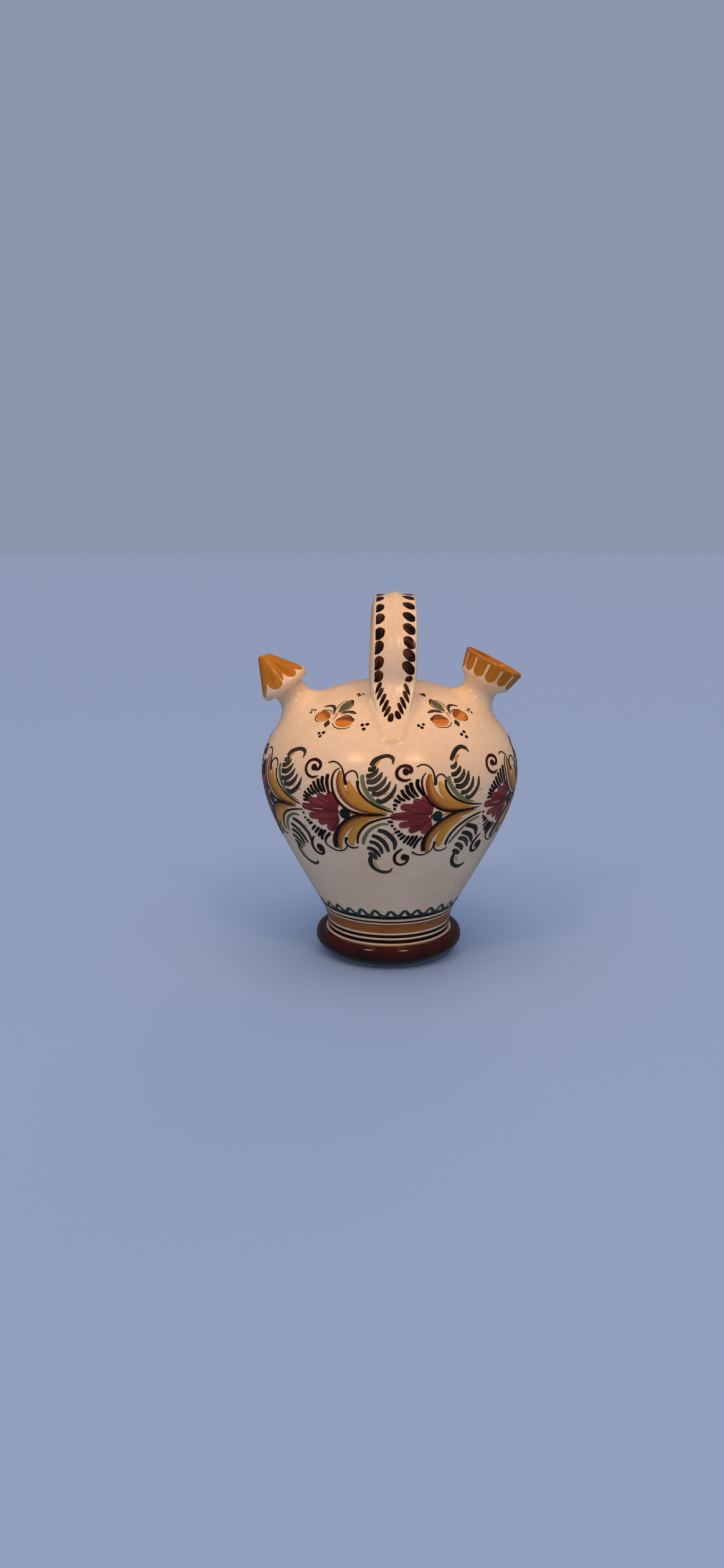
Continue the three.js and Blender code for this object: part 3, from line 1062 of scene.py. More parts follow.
# Ceramic colours brushed on the raw glaze and fired into it: glossy, darker where the stroke ended wet along
# its edges, with the streaks of the bristles
def brushPaint(name, edge, middle, light, shade=None, streaks=3.0, pooling=0.2, variety=0.2, fade=0.0):
    material, add, place = newMaterial(name)
    side, travel, along, tone = (
        add("Attribute", attribute_name=layer).outputs["Fac"] for layer in strokeLayers
    )
    bristle = add("Math", {0: side}, {1: streaks}, operation="MULTIPLY")
    drawn = add("Math", {0: along}, {1: brush["drawn"]}, operation="MULTIPLY")
    apart = add("Math", {0: tone}, {1: brush["apart"]}, operation="MULTIPLY")
    weave = add("CombineXYZ", {"X": bristle, "Y": drawn, "Z": apart})
    streak = add("TexNoise", {"Vector": weave}, {"Scale": 1.0, "Detail": 2})
    loaded = add("Math", {0: tone, 2: streak}, {1: variety}, operation="MULTIPLY_ADD")
    wetter = add("Math", {0: travel, 2: loaded}, {1: -fade}, operation="MULTIPLY_ADD")
    colour = add("ValToRGB", {"Fac": wetter}, stops=[(0.25, edge), (0.5, middle), (0.85, light)])
    if shade:
        # one long side of the stroke was loaded with a darker colour
        lean = add(
            "MapRange", {"Value": side},
            {"From Min": brush["shadeFrom"], "From Max": brush["shadeTo"], "To Min": 1.0, "To Max": 0.0},
            interpolation_type="SMOOTHSTEP",
        )
        colour = add("Mix", {"Factor": lean, "A": colour}, {"B": hexColour(shade)}, data_type="RGBA")
    rim = add("Math", {0: side}, operation="ABSOLUTE")
    pooled = add(
        "MapRange", {"Value": rim}, {"From Min": brush["poolFrom"], "To Max": pooling},
        interpolation_type="SMOOTHSTEP",
    )
    colour = add("Mix", {"Factor": pooled, "A": colour}, {"B": hexColour(edge)}, data_type="RGBA")
    closeMaterial(add, place, colour, brush["roughness"], brush["gloss"])
    return material


# Places on the body's outside round a centre: u to the right and w up, in millimetres
def bodyPatch(azimuth, height, radius=None):
    centre = math.radians(azimuth)
    start = sideAt(height)
    scale = radius or meridian(start)[0]
    return lambda u, w, lift: skin(centre + u / scale, start + w, lift)


# The garland round the belly: flowers, each followed on its right by a pair of scrolled leaves. The painter's
# hand varied, so there are two drawings of it, in mm from a flower's heart: u to the right and w up. A stroke
# is the points of its line and its widths from start to end
firstGarland = {
    "pitch": 71.4,  # mm to the next flower that it is drawn for
    "stem": [
        ([(4, -0.9), (9, -1.4), (15, -1.4)], [2.2, 1.8, 0.6]),
        ([(22.5, 35.5), (24, 38), (26.5, 39.6)], [2.4, 2.2, 0.8]), ([(24, 19.6), (26.5, 21.5)], [0.9, 0.6]),
        ([(30, 14.6), (33, 17)], [1.2, 0.6]), ([(35.5, 12.3), (38, 13.6)], [1.3, 0.9]),
        ([(29.5, -19.5), (31.5, -21.5)], [1.1, 0.7]), ([(36, -16), (37.8, -18)], [1.3, 0.9]),
        ([(20, -43), (22, -47), (25, -50)], [1.6, 2, 0.8]),
    ],
    "brownLeaf": [
        ([(-3.9, 31), (-4.2, 25), (-2.3, 17), (2.8, 10), (10.5, 5), (20, 2), (32, 0.5)],
         [3.2, 6.4, 7.8, 7.6, 6.2, 3.6, 0.8]),
        ([(31, -1.8), (17, -3.6), (8, -6.8), (0.8, -12), (-5, -19.5), (-8, -27), (-8.4, -34)],
         [0.8, 3, 4.8, 5.8, 5.8, 5, 3.6]),
    ],
    "yellowLeaf": [
        ([(3.6, 24), (4.6, 19.5), (8.2, 13.2), (15, 8), (23, 4.4), (34, 1.2)],
         [2.6, 6.6, 7.6, 6.4, 4.2, 0.8]),
        ([(22, -5.6), (12.5, -9.6), (6.8, -15), (3.2, -22), (2.4, -29.4)], [1.2, 4.4, 6, 6, 4]),
    ],
    "olive": [
        ([(13.4, 29.2), (13.8, 24), (16.2, 17.3), (21, 11), (27, 6.6), (35, 3.7)],
         [3, 3.4, 3.6, 3.4, 2, 0.8]),
        ([(12, -27.4), (13.5, -21.5), (17, -15.5), (22, -11), (28, -8.4), (33, -8.6)],
         [2.4, 2.8, 2.6, 2.4, 2.2, 1.6]),
    ],
    "line": [
        ([(-5, 33.2), (-8.5, 30.2), (-10.1, 25), (-9.7, 19), (-7.4, 12.5), (-3, 6.5), (3, 2.2), (10, 0),
          (20, -0.9), (32, -0.2)],
         [0.8, 1.5, 1.8, 1.8, 2, 2, 2.1, 2, 1.3, 0.6]),
        ([(10.1, 24.6), (11, 18.5), (14.2, 13.5), (20, 8.5), (27, 4.6), (37, 1.3)],
         [2.4, 1.8, 1.6, 1.5, 1.4, 1]),
        ([(-14.8, 36.2), (-10.5, 37.4), (-6, 36.1), (-2.8, 33), (-1, 29), (0, 25), (1.6, 21)],
         [1, 1.1, 1.1, 1.2, 1.3, 1.8, 3]),
        ([(1, 21.8), (0.2, 27), (2.5, 30.2), (6, 31.6), (9, 30), (10.6, 25.6)],
         [2.8, 1.8, 1.1, 1.1, 1.2, 0.9]),
        ([(-12.4, -33.4), (-12.2, -27), (-10, -20), (-5, -12.2), (1, -6.6), (8, -2.9), (16, -1.5),
          (29, -1)],
         [4, 3.9, 3, 2.2, 2, 1.8, 1.6, 0.9]),
        ([(8.2, -27.2), (8.8, -22), (11, -16.5), (16, -10.5), (22, -6.8), (30, -4), (38, -2.5)],
         [1.4, 1.8, 1.8, 1.7, 1.6, 1.4, 0.8]),
        ([(-15.4, -19.3), (-20.6, -24.6), (-22.4, -29.4), (-19, -33), (-13, -35.4), (-7, -34.8),
          (-3.5, -32), (-1.8, -28.6)],
         [2.6, 2.3, 1.6, 1.2, 1.2, 1.2, 1, 0.8]),
        ([(-0.8, -21.8), (-2.4, -26), (-1, -29.5), (3, -31.3), (8.3, -30.3)], [2.7, 1.7, 1.4, 1.3, 0.8]),
    ],
    "frond": [
        ([(17.4, 32.6), (20.8, 32.8), (23.4, 35.2)], [3, 3.2, 2]),
        ([(16.2, 28), (20, 28.6), (23.5, 31), (25.2, 34.2)], [3, 3.2, 2.8, 1.3]),
        ([(16.6, 23.6), (22, 24), (26, 27), (28.3, 31)], [3.2, 3.5, 3.1, 1.2]),
        ([(17.4, 18.8), (23, 19), (28.5, 23), (31.2, 28)], [3, 3.5, 3.1, 1.2]),
        ([(20.6, 15), (26, 15), (31.5, 19), (34.4, 24.4)], [3, 3.3, 2.9, 1.1]),
        ([(24, 10.8), (28, 9.5), (33.5, 13), (37, 18), (38.4, 22.6)], [2.6, 3.1, 3, 2.4, 0.9]),
        ([(20, 35.4), (22.6, 39.6), (28, 42.5), (33, 43.3), (36.6, 41.4), (36.6, 36.8)],
         [3, 3.2, 2.8, 2.6, 2.6, 0.9]),
        ([(24.4, -13.4), (30, -15), (35, -19.5), (38, -25), (37.6, -31.6)], [2.8, 3.4, 3.4, 3, 1.4]),
        ([(19.8, -18.4), (25, -20.5), (30, -25.5), (33.2, -33.6)], [2.8, 3.2, 3, 2]),
        ([(17.8, -24.4), (23, -26), (26.5, -30), (28.4, -36)], [2.8, 3.2, 3, 1.8]),
        ([(15.3, -30.2), (20, -31.5), (23.5, -34.5), (26.4, -39)], [2.8, 3.2, 2.9, 1.6]),
        ([(15.8, -35.6), (19.5, -37), (22.6, -42)], [2.8, 3.6, 2.6]),
        ([(18.2, -37), (16.8, -43), (18.5, -49), (24, -53), (30, -54.3), (34.5, -53), (36.4, -49.8)],
         [2.5, 3.2, 3, 2.8, 3, 2.4, 0.9]),
    ],
    "petal": [
        ([(-5, 4), (-9, 9), (-13.4, 13.8)], [4, 7, 6]),
        ([(-6, -4.5), (-11, -11), (-15.4, -17.2)], [4, 6.2, 6]),
        ([(-5, 3.2), (-14, 7.5), (-22.6, 11)], [4, 6, 4.8]),
        ([(-5.5, -3.6), (-15, -7.6), (-24.4, -11.6)], [3.5, 5.4, 4.6]),
        ([(-5, 1.8), (-18, 4.6), (-31.4, 6.4)], [4, 6, 4.4]),
        ([(-5.5, -2.4), (-18, -5), (-32.6, -7)], [3.5, 5, 4.6]),
        ([(-5, -0.6), (-20, 0), (-38.4, 0.6)], [5, 6, 4.6]),
    ],
    "calyx": [([(-4.4, -1.5), (0, -1.5), (4.1, -1.5)], [8.6, 9, 8.6])],
    # pale: a thin lighter streak of paint along the long middle petal
    "pale": [([(-27, 0.2), (-18, 0.6)], [0.5, 0.4])],
    "tick": [
        ([(-36.1, 5.6), (-31.1, 5.9)], [2, 2.1]),
        ([(-35.7, 8.9), (-33.2, 8.2), (-30.5, 7.3)], [1.8, 2, 1.7]),
        ([(-34.6, 12.2), (-31.9, 10.4), (-27.9, 9.3)], [1.9, 2.1, 1.7]),
        ([(-31.6, 15.3), (-28.9, 12.4), (-25.4, 11.3)], [2.2, 2.3, 1.9]),
        ([(-29, 18.1), (-26.9, 14.6), (-22.9, 11.8)], [2.3, 2.4, 2]),
        ([(-26.1, 20.7), (-23.7, 16.1), (-20.1, 12.8)], [2.5, 2.5, 1.9]),
        ([(-22.4, 23.2), (-21, 17.8), (-17.5, 13.5)], [2.5, 2.6, 1.8]),
        ([(-18, 25.8), (-18.1, 20.6), (-15, 13.9)], [2.7, 2.7, 1.7]),
        ([(-13.9, 27.6), (-14.2, 21.3), (-11.9, 13)], [2.8, 2.8, 1.6]),
        ([(-38.5, -5.3), (-36.4, -5.2)], [2.2, 2.1]), ([(-38, -9.2), (-35.8, -8.7)], [2.1, 2]),
        ([(-36.2, -11.9), (-33, -10.4)], [2.2, 2]), ([(-34.8, -14.4), (-30.4, -12.3)], [2.2, 2.4]),
        ([(-33, -18.9), (-27.8, -14.2)], [2, 2.3]), ([(-30.3, -22), (-24.2, -16.1)], [2.1, 2.3]),
        ([(-28.1, -24.7), (-22, -17.1)], [2.2, 2.3]),
        ([(-25.4, -27.3), (-23, -22), (-18.9, -17.7)], [2.2, 2.4, 2.1]),
    ],
    "spiral": [
        ([(-29.8, 31), (-24.6, 31.6)], [5, 5]),
        ([(-21.8, 25.2), (-27, 23.6), (-32, 25.4), (-34.4, 30), (-32.3, 35), (-27, 37), (-22.3, 35.4),
          (-21, 32.6), (-22.6, 30.2), (-25.6, 29.6)],
         [0.7, 1.8, 2.1, 2.2, 2.1, 2, 2.3, 2.5, 2.4, 2]),
        ([(-33.6, -35.2), (-25.8, -36)], [8, 7.4]),
        ([(-32.4, -25.2), (-36.8, -30.6), (-38.3, -36), (-36, -40.8), (-31.5, -42.3), (-27.6, -40.6),
          (-26, -36.6)],
         [1.2, 2.4, 2.7, 2.7, 2.4, 2.2, 1.8]),
    ],
}
secondGarland = {
    "pitch": 80.5,
    "stem": [
        ([(3.6, -2.4), (8, -1.4), (14, -1)], [2.2, 2, 0.6]),
        ([(16, 37.2), (17.6, 40.4), (20.6, 41.4)], [2.8, 2.6, 2]), ([(23, 18), (25, 19.6)], [1, 0.7]),
        ([(28.6, 15.4), (29.8, 16.8)], [1, 0.7]), ([(35, 13.5), (38.6, 13.5)], [1, 0.9]),
        ([(39.4, -16.6), (41.4, -15)], [1.2, 0.8]), ([(27, -43.4), (29, -47), (32, -50)], [1.4, 1.8, 0.8]),
    ],
    "brownLeaf": [
        ([(-7, 29.6), (-8, 23.5), (-7, 17), (-3, 10.6), (4, 5.6), (13, 2.6), (25, 1), (35, 0.5)],
         [3, 6.2, 7, 7, 6, 4, 2, 0.6]),
        ([(34, -1.8), (18, -3.6), (9, -7.2), (1.2, -12.8), (-4.2, -20), (-6.3, -28), (-5.6, -35.2)],
         [0.8, 3.8, 5.4, 6, 6, 5, 3.6]),
    ],
    "yellowLeaf": [
        ([(0.2, 22.8), (1.4, 18.5), (4.6, 13), (10.6, 8.4), (18.6, 5), (31, 1.9)],
         [3, 5.6, 6.2, 5.6, 4.2, 0.9]),
        ([(22, -6.4), (12.5, -10.8), (7.4, -16.3), (4.6, -23), (4.2, -30.6)], [1.4, 5, 6.6, 7, 4.6]),
    ],
    "olive": [
        ([(7.6, 26.6), (8, 22), (11.5, 15.6), (17.5, 10), (24, 6.6), (31, 4.9)],
         [3.4, 3.4, 3.4, 3, 2, 0.8]),
        ([(13.8, -28.8), (17, -23.5), (22, -17.5), (28, -12.2), (34, -9.6), (39, -8.6)],
         [2.2, 2.6, 2.6, 2.4, 2, 1.4]),
    ],
    "line": [
        ([(-10.2, 30.2), (-13, 26.5), (-13.6, 21.5), (-12, 15.5), (-8, 9), (-2, 4), (5, 0.8), (14, -0.6),
          (26, -0.5), (37, 0)],
         [0.8, 1.6, 1.8, 1.8, 1.8, 2, 2.2, 2, 1.3, 0.6]),
        ([(4.8, 24.2), (5, 19), (8.5, 13), (14, 8.6), (22, 5), (31, 2.8), (39, 1.5)],
         [1.8, 1.8, 1.7, 1.6, 1.4, 1.2, 0.8]),
        ([(-17, 34.4), (-12.5, 36.1), (-8, 35), (-5, 32), (-3.8, 28), (-3.2, 20.4)],
         [1, 1.1, 1.1, 1.2, 1.4, 2.6]),
        ([(-3.4, 22.4), (-3, 26.5), (-0.5, 28.7), (2.5, 28.3), (5.2, 25.2)], [1.6, 1.2, 1, 1.1, 1]),
        ([(-9, -34.2), (-10, -27), (-8.5, -20), (-4, -13), (2, -7.5), (9, -3.6), (18, -1.3), (31, -0.8)],
         [3.2, 3.4, 2.6, 2.2, 2, 2, 1.6, 0.8]),
        ([(10.8, -30), (12, -23), (16, -16.5), (22, -11.5), (30, -7.5), (40, -4.8)],
         [2, 1.8, 1.8, 1.8, 1.6, 1.2]),
        ([(-18.4, -34.4), (-14, -37), (-9, -37.9), (-4, -36), (-1.2, -33), (-0.4, -30)],
         [1.8, 1.2, 1.2, 1.2, 1.1, 0.8]),
        ([(0.3, -25.2), (0, -30), (2.5, -33.5), (6.5, -34.9), (11, -33.8), (13.2, -31.6)],
         [2.2, 1.6, 1.2, 1.2, 1.1, 0.7]),
    ],
    "frond": [
        ([(10.1, 33.6), (13.5, 33.2), (16.4, 37)], [3, 3.2, 2]),
        ([(10.1, 27.6), (14, 28), (17.5, 30.5), (19.3, 33.5)], [3, 3.2, 3, 1.4]),
        ([(11.6, 22.6), (16.5, 23), (20.5, 26.5), (22, 30.6)], [3, 3.2, 3, 1.2]),
        ([(12.7, 18.5), (18.5, 18), (23.5, 22), (25.8, 28.6)], [2.8, 3.4, 3.2, 1.2]),
        ([(17.5, 13.6), (22.5, 13.8), (27.5, 17.5), (29.8, 24.5)], [3, 3, 2.8, 1.2]),
        ([(21.5, 9.6), (25.5, 8.5), (30.5, 12), (34, 17), (34.9, 23.5)], [2.6, 3, 2.8, 2.4, 1.2]),
        ([(11.9, 37.8), (16, 43), (20.5, 46.4), (25.5, 47.5), (29.5, 45.4), (30.7, 42.4)],
         [2.4, 3, 3, 2.8, 2.6, 0.9]),
        ([(27.3, -14.4), (33, -16), (39, -19), (42.8, -26.6)], [2.8, 3.4, 3.4, 1.4]),
        ([(24.4, -19.9), (30, -21.5), (35.5, -25), (40.2, -32)], [2.8, 3.4, 3.2, 1.4]),
        ([(22.3, -25.4), (28, -27), (32.5, -30), (36.2, -35.8)], [2.8, 3.4, 3, 1.6]),
        ([(21.3, -30.9), (26, -32.5), (29.5, -35), (32, -38.8)], [2.8, 3.2, 3, 1.8]),
        ([(20.7, -36.2), (25, -38.5), (29.6, -41.6)], [2.8, 3.8, 3]),
        ([(24.2, -39.6), (23.5, -45), (26, -50.5), (31, -54), (37, -55.6), (43.4, -53)],
         [2.6, 3, 3, 3, 3, 1.2]),
    ],
    "petal": [
        ([(-5, 3), (-9, 8), (-13.6, 12.6)], [4, 6.6, 5.6]),
        ([(-5, -8), (-8.4, -12.6), (-11, -17.6)], [4, 6, 5.4]),
        ([(-5, 2), (-13, 6.6), (-20.4, 9.8)], [4, 5.8, 4.4]),
        ([(-5.5, -6.6), (-14, -11.4), (-22.4, -15.6)], [3.5, 5.4, 4.4]),
        ([(-5, 0), (-17, 3.6), (-29.6, 5.8)], [4, 6, 4.6]),
        ([(-5.5, -5), (-17, -8), (-30.6, -10)], [3.5, 5.2, 4.8]),
        ([(-5, -2.6), (-20, -2), (-37, -2.4)], [5, 6.4, 4.6]),
    ],
    "calyx": [([(-4.6, -3.5), (-0.4, -3.5), (3.8, -3.5)], [8.2, 8.6, 8.2])],
    # pale: a painted highlight, the glint of the glaze beside the flower's heart drawn as a pale stroke of
    # paint
    "pale": [([(-7.8, -3.7), (-6.4, -1.8)], [1, 0.9])],
    "tick": [
        ([(-34.6, 3.6), (-32.5, 3.8)], [2.2, 2.3]), ([(-35, 7.2), (-31.4, 6.5)], [2.2, 2.1]),
        ([(-34.2, 11.3), (-31.9, 9.9), (-29.2, 8.8)], [2.2, 2.2, 1.8]),
        ([(-32.1, 14.6), (-29.6, 11.8), (-26, 10.2)], [2.3, 2.4, 1.9]),
        ([(-29.3, 18.4), (-27.2, 14.2), (-22.9, 10.8)], [2.6, 2.7, 1.9]),
        ([(-25.5, 21.7), (-24.1, 16.2), (-19.1, 11.7)], [2.9, 2.9, 1.7]),
        ([(-22.2, 23.8), (-20.9, 18.5), (-16.5, 12.9)], [2.9, 2.9, 1.6]),
        ([(-16.9, 25.7), (-17.2, 20.8), (-12.8, 13.2)], [2.8, 2.8, 1.3]),
        ([(-39, -6.5), (-34.8, -7)], [2.1, 1.9]), ([(-36.8, -9.6), (-34.6, -9.4)], [2.2, 2.2]),
        ([(-34.9, -12.4), (-32.7, -12.2)], [2.2, 2.2]), ([(-33.6, -15.8), (-29.4, -14)], [2.1, 2.2]),
        ([(-31.6, -19), (-27.6, -16.2)], [2.2, 2.4]), ([(-29.3, -22), (-25, -17.9)], [2.1, 2.3]),
        ([(-26.3, -25.3), (-22, -18.4)], [2.1, 2.3]), ([(-23.1, -27.3), (-18.6, -18.8)], [2.1, 2.3]),
        ([(-20.5, -29), (-15.4, -19.1)], [2.1, 2.3]),
        ([(-17.3, -30.3), (-14.8, -24), (-11, -19.6)], [2.1, 2.3, 1.9]),
    ],
    "spiral": [
        ([(-28.1, 30.8), (-23, 31.2)], [5.2, 5]),
        ([(-21.9, 26), (-27, 25), (-31.5, 27), (-32.7, 31), (-30.5, 34.5), (-26.5, 35.8), (-22.6, 34.7),
          (-21.5, 32.3), (-23.6, 30.4)],
         [0.7, 1.8, 2.2, 2.4, 2.2, 2, 2.4, 2.7, 2.6]),
        ([(-27.7, -39.7), (-21.6, -39.2)], [6.4, 6]),
        ([(-26.4, -30.4), (-31.5, -35), (-33, -40), (-31.5, -44.5), (-27, -46.5), (-22.5, -44.5),
          (-20.9, -40), (-22, -37)],
         [1.2, 2.3, 2.5, 2.4, 2.2, 2, 2, 2.2]),
    ],
}
garland = {
    "flowers": [  # azimuth and drawing
        (-65, firstGarland), (-20, firstGarland), (19.5, secondGarland), (64, firstGarland),
        (110, secondGarland), (156, firstGarland), (203, secondGarland), (249, firstGarland),
    ],
    "height": 140.5,
    "shake": 0.2,
    "colourStep": 1.1,  # how far a colour lies over the one before it, in layers of paint
    "strokeStep": 0.5,  # and a stroke over the one before it, in turns of three
    "fullness": {"frond": 1.14, "petal": 1.16},  # how far the brush was pressed
    "blunt": ("frond", "tick"),  # strokes that start square
    "ochre": ("stem", "brownLeaf", "yellowLeaf"),  # colours in the ochre slot
}
paintColours = {
    "stem": dict(edge="#a46a2c", middle="#c08a44", light="#cf9f5c"),
    "brownLeaf": dict(edge="#7e4c20", middle="#a86f2f", light="#c18b40", shade="#70401b"),
    "yellowLeaf": dict(edge="#b5822c", middle="#c79339", light="#d3a34a", shade="#bb8731"),
    "olive": dict(edge="#3f4a35", middle="#5a6547", light="#76805f"),
    "frond": dict(edge="#0e0d0b", middle="#1e1e1a", light="#424238", variety=0.35, fade=-0.1),
    "petal": dict(edge="#3a0c10", middle="#5c1c21", light="#863e3d", pooling=0.4, fade=-0.2),
    "calyx": dict(edge="#08150f", middle="#10261c", light="#203b2d"),
    # pale: in the first drawing a lighter streak of paint on a petal, in the second a painted highlight
    # beside the flower's heart
    "pale": dict(edge="#c99d8c", middle="#d9b4a0", light="#e6c8b4"),
    "line": dict(edge="#0d0706", middle="#180d0a", light="#301c13"),
    "tick": dict(edge="#080505", middle="#100908", light="#211613"),
    "spiral": dict(edge="#160708", middle="#260d0e", light="#3e1a19"),
}


# One piece for each colour of a set
def finishPaints(paints, colours, ochre, pieceName, paintName):
    for name, paint in paints.items():
        slot = "ochre_glaze" if name in ochre else "brown_glaze"
        paint.finish(pieceName + name, brushPaint(paintName + name, **colours[name]), slot)


def paintGarland():
    paints = {name: Paint() for name in paintColours}
    azimuths = [azimuth for azimuth, drawing in garland["flowers"]]
    azimuths.append(azimuths[0] + 360)
    for (azimuth, drawing), following in zip(garland["flowers"], azimuths[1:]):
        gap = math.radians(following - azimuth) * body["bellyRadius"]
        place = bodyPatch(azimuth, garland["height"], body["bellyRadius"])
        for layer, name in enumerate(paintColours):
            pressed = garland["fullness"].get(name, 1)
            for order, (points, widths) in enumerate(drawing[name]):
                spots = [(u * gap / drawing["pitch"] if u > 0 else u, w) for u, w in points]
                widths = [width * pressed for width in widths]
                blunt = name in garland["blunt"] and len(points) > 2
                over = garland["colourStep"] * layer + garland["strokeStep"] * (order % 3)
                paints[name].stroke(place, spots, widths, over, garland["shake"], blunt)
    finishPaints(paints, paintColours, garland["ochre"], "garland_", "paint_")


# Sprigs of two fruits and a leaf on the shoulder, with groups of three dots round them
sprigs = {
    "centres": [  # azimuth, height and mirror
        (-35.4, 202.5, 1), (36.2, 203, -1), (144.6, 202.5, 1), (216.2, 203, -1),
    ],
    "shake": 0.15,
    "strokeStep": 0.05,  # how far a stroke lies over the one before it, in layers of paint
    "ochre": ("fruit", "blush"),
    "dotGroups": [(4.5, 219.4), (-21.8, 206.8), (20.6, 201), (-2.2, 193.4)],  # azimuth from the sprig, height
    "dots": [(-1.9, 0.7), (1.7, 1.4), (0.1, -1.9)],
    "dotScatter": 0.35,
    "dotSize": 2.7,
    "dotHalf": (0.45, 0.58),  # half its length, as a share of the size
    "dotSlant": 0.3,
    "dotWidths": (2.0, 1.8),  # to half its length
}
sprigStrokes = {
    "stem": [([(-0.6, 1), (0.2, 5), (-0.6, 9.4)], [0.8, 1.6, 2.6])],
    "fruit": [
        ([(-4.4, 1.2), (-12, 4.2), (-19.2, 6.4)], [8, 11, 9]),
        ([(18, 1.4), (10.6, 0.8), (3, 0.4)], [8, 11.6, 8]),
    ],
    "blush": [
        ([(-18, 8.6), (-11.5, 7.4), (-5, 3)], [2, 3.6, 2.4]),
        ([(6, 4.6), (11, 4.8), (17.4, 3)], [2, 3.4, 3]),
    ],
    "leaf": [([(1, 9.8), (2.2, 17), (3.6, 26)], [3.6, 8.2, 5.2])],
    "horn": [
        ([(-2.2, 6.6), (-6, 12.6), (-10, 15.6), (-14.5, 16.1), (-20.4, 13.8)], [0.7, 2, 2.8, 2.6, 1.8]),
        ([(3, 8.6), (8, 10.9), (12, 11.6), (17.8, 9.8)], [0.8, 2.8, 3.2, 1.2]),
        ([(-3.4, 0.2), (-2.8, -3.4), (-2.5, -7)], [1.6, 5, 1]), ([(16.6, 4.6), (17.7, 1.4)], [2.4, 2]),
    ],
    "line": [
        ([(-19.6, 6.6), (-18.5, 1.6), (-15, -1.6), (-10.6, -2.2)], [0.6, 0.9, 0.9, 0.4]),
        ([(-18, 9.4), (-13, 10.8), (-8, 10.1), (-4.6, 7)], [1.1, 0.9, 0.9, 0.4]),
        ([(1.3, -1.4), (5, -5), (10, -6.3), (15, -5.1), (17.4, -3)], [0.5, 0.8, 0.8, 0.7, 0.4]),
        ([(5.6, 6), (10, 7.3), (14, 6.3), (17.2, 3.4)], [0.5, 0.9, 1.1, 1]),
        ([(-4, 11.6), (-5.3, 17.6), (-4, 22.4), (-1, 25)], [0.5, 0.8, 0.8, 0.6]),
        ([(1.4, 26), (4.6, 25.6), (7.8, 22.2), (9, 18.6), (7, 14), (4, 10.4)],
         [1.2, 1.4, 1, 0.8, 0.7, 0.5]),
    ],
}
sprigColours = {
    "stem": dict(edge="#9a6a45", middle="#bb8756", light="#cf9f70"),
    "fruit": dict(edge="#a5601f", middle="#c87a2c", light="#da933f", shade="#713718"),
    "blush": dict(edge="#6b3416", middle="#84451c", light="#a05c26"),
    "leaf": dict(edge="#33391f", middle="#555a36", light="#74764d", pooling=0.4),
    "horn": dict(edge="#1b1414", middle="#352a29", light="#62524e"),
    "line": dict(edge="#1a0e0a", middle="#2a1710", light="#4a2c1c"),
}


def paintSprigs():
    paints = {name: Paint() for name in sprigColours}
    dots = Paint()
    scatter, slant = sprigs["dotScatter"], sprigs["dotSlant"]
    for azimuth, height, mirror in sprigs["centres"]:
        place = bodyPatch(azimuth, height)
        for layer, name in enumerate(sprigColours):
            for order, (points, widths) in enumerate(sprigStrokes[name]):
                spots = [(u * mirror, w) for u, w in points]
                if mirror < 0:
                    spots, widths = spots[::-1], widths[::-1]
                over = layer + sprigs["strokeStep"] * order
                paints[name].stroke(place, spots, widths, over, sprigs["shake"])
        for offset, level in sprigs["dotGroups"]:
            dotPlace = bodyPatch(azimuth + offset * mirror, level)
            for u, w in sprigs["dots"]:
                u, w = u + dice.gauss(0, scatter), w + dice.gauss(0, scatter)
                half = sprigs["dotSize"] * dice.uniform(*sprigs["dotHalf"])
                widths = [width * half for width in sprigs["dotWidths"]]
                dots.stroke(dotPlace, [(u - half, w - slant), (u + half, w + slant)], widths, 1)
    finishPaints(paints, sprigColours, sprigs["ochre"], "sprig_", "paint_sprig_")
    dots.finish("shoulder_dots", brushPaint("paint_dots", **paintColours["tick"]), "brown_glaze")


# The green wavy line over the waist rings: narrow rounded humps that run into the top ring between them
wave = {
    "count": 33,
    "low": 46.3,
    "high": 51.2,
    "hump": [  # shares of a step and of the rise
        (-0.5, 0), (-0.36, 0.1), (-0.22, 0.62), (-0.08, 1),
        (0.08, 0.82), (0.26, 0.3), (0.44, 0.03), (0.62, 0),
    ],
    "widths": [3.4, 3, 2.6, 2.7, 2.5, 2.8, 3.4, 3.2],
    "drift": 0.08,  # of a hump to one side, as a share of a step
    "heights": (0.85, 1.12),
    "layer": 2,
    "colours": dict(edge="#13221a", middle="#1f3a2b", light="#3f5c49"),
}


def paintWave():
    paint = Paint()
    radius = meridian(sideAt(wave["low"]))[0]
    step = 2 * math.pi * radius / wave["count"]
    rise = sideAt(wave["high"]) - sideAt(wave["low"])
    place = bodyPatch(0, wave["low"], radius)
    for i in range(wave["count"]):
        middle = (i + dice.uniform(-wave["drift"], wave["drift"])) * step
        high = rise * dice.uniform(*wave["heights"])
        spots = [(middle + u * step, w * high) for u, w in wave["hump"]]
        paint.stroke(place, spots, wave["widths"], wave["layer"] + i % 2)
    paint.finish("waist_wave", brushPaint("paint_waist_green", **wave["colours"]), "brown_glaze")


# Ochre petals round the mouth's collar and lobes down the spout's cone
collarPetals = {
    "count": 13,
    "first": -0.25,  # share of a petal's turn
    "drift": 0.05,
    "from": 34.2,
    "to": 20.4,
    "uneven": 0.5,  # how far their ends are out of line
    "widths": [9.8, 9.6, 9.2, 8.2],
}
coneLobes = {
    "lobes": [  # degrees round the cone, height of the end, and share of the width
        (-20, 21.9, 0.9), (-53, 21.8, 0.76), (-99, 21.4, 1.2), (-153, 21.6, 1.1),
        (160, 21.5, 1), (115, 22.1, 1), (70, 21.6, 1), (25, 22, 1),
    ],
    "drift": 1.0,
    "from": 47.4,
    "widths": [4.6, 9, 12.8, 12],
}


# Places beside a line down the mouth's collar: u round it and w along the neck's axis
def collarPlace(turn):
    def place(u, w, lift):
        share = (w - collarLow.y) / (collarHigh.y - collarLow.y)
        radius = blendBetween(mouth["collar"], mouth["rim"], share)
        return neckPoint(mouth, radius + lift, w, turn + u / radius)

    return place


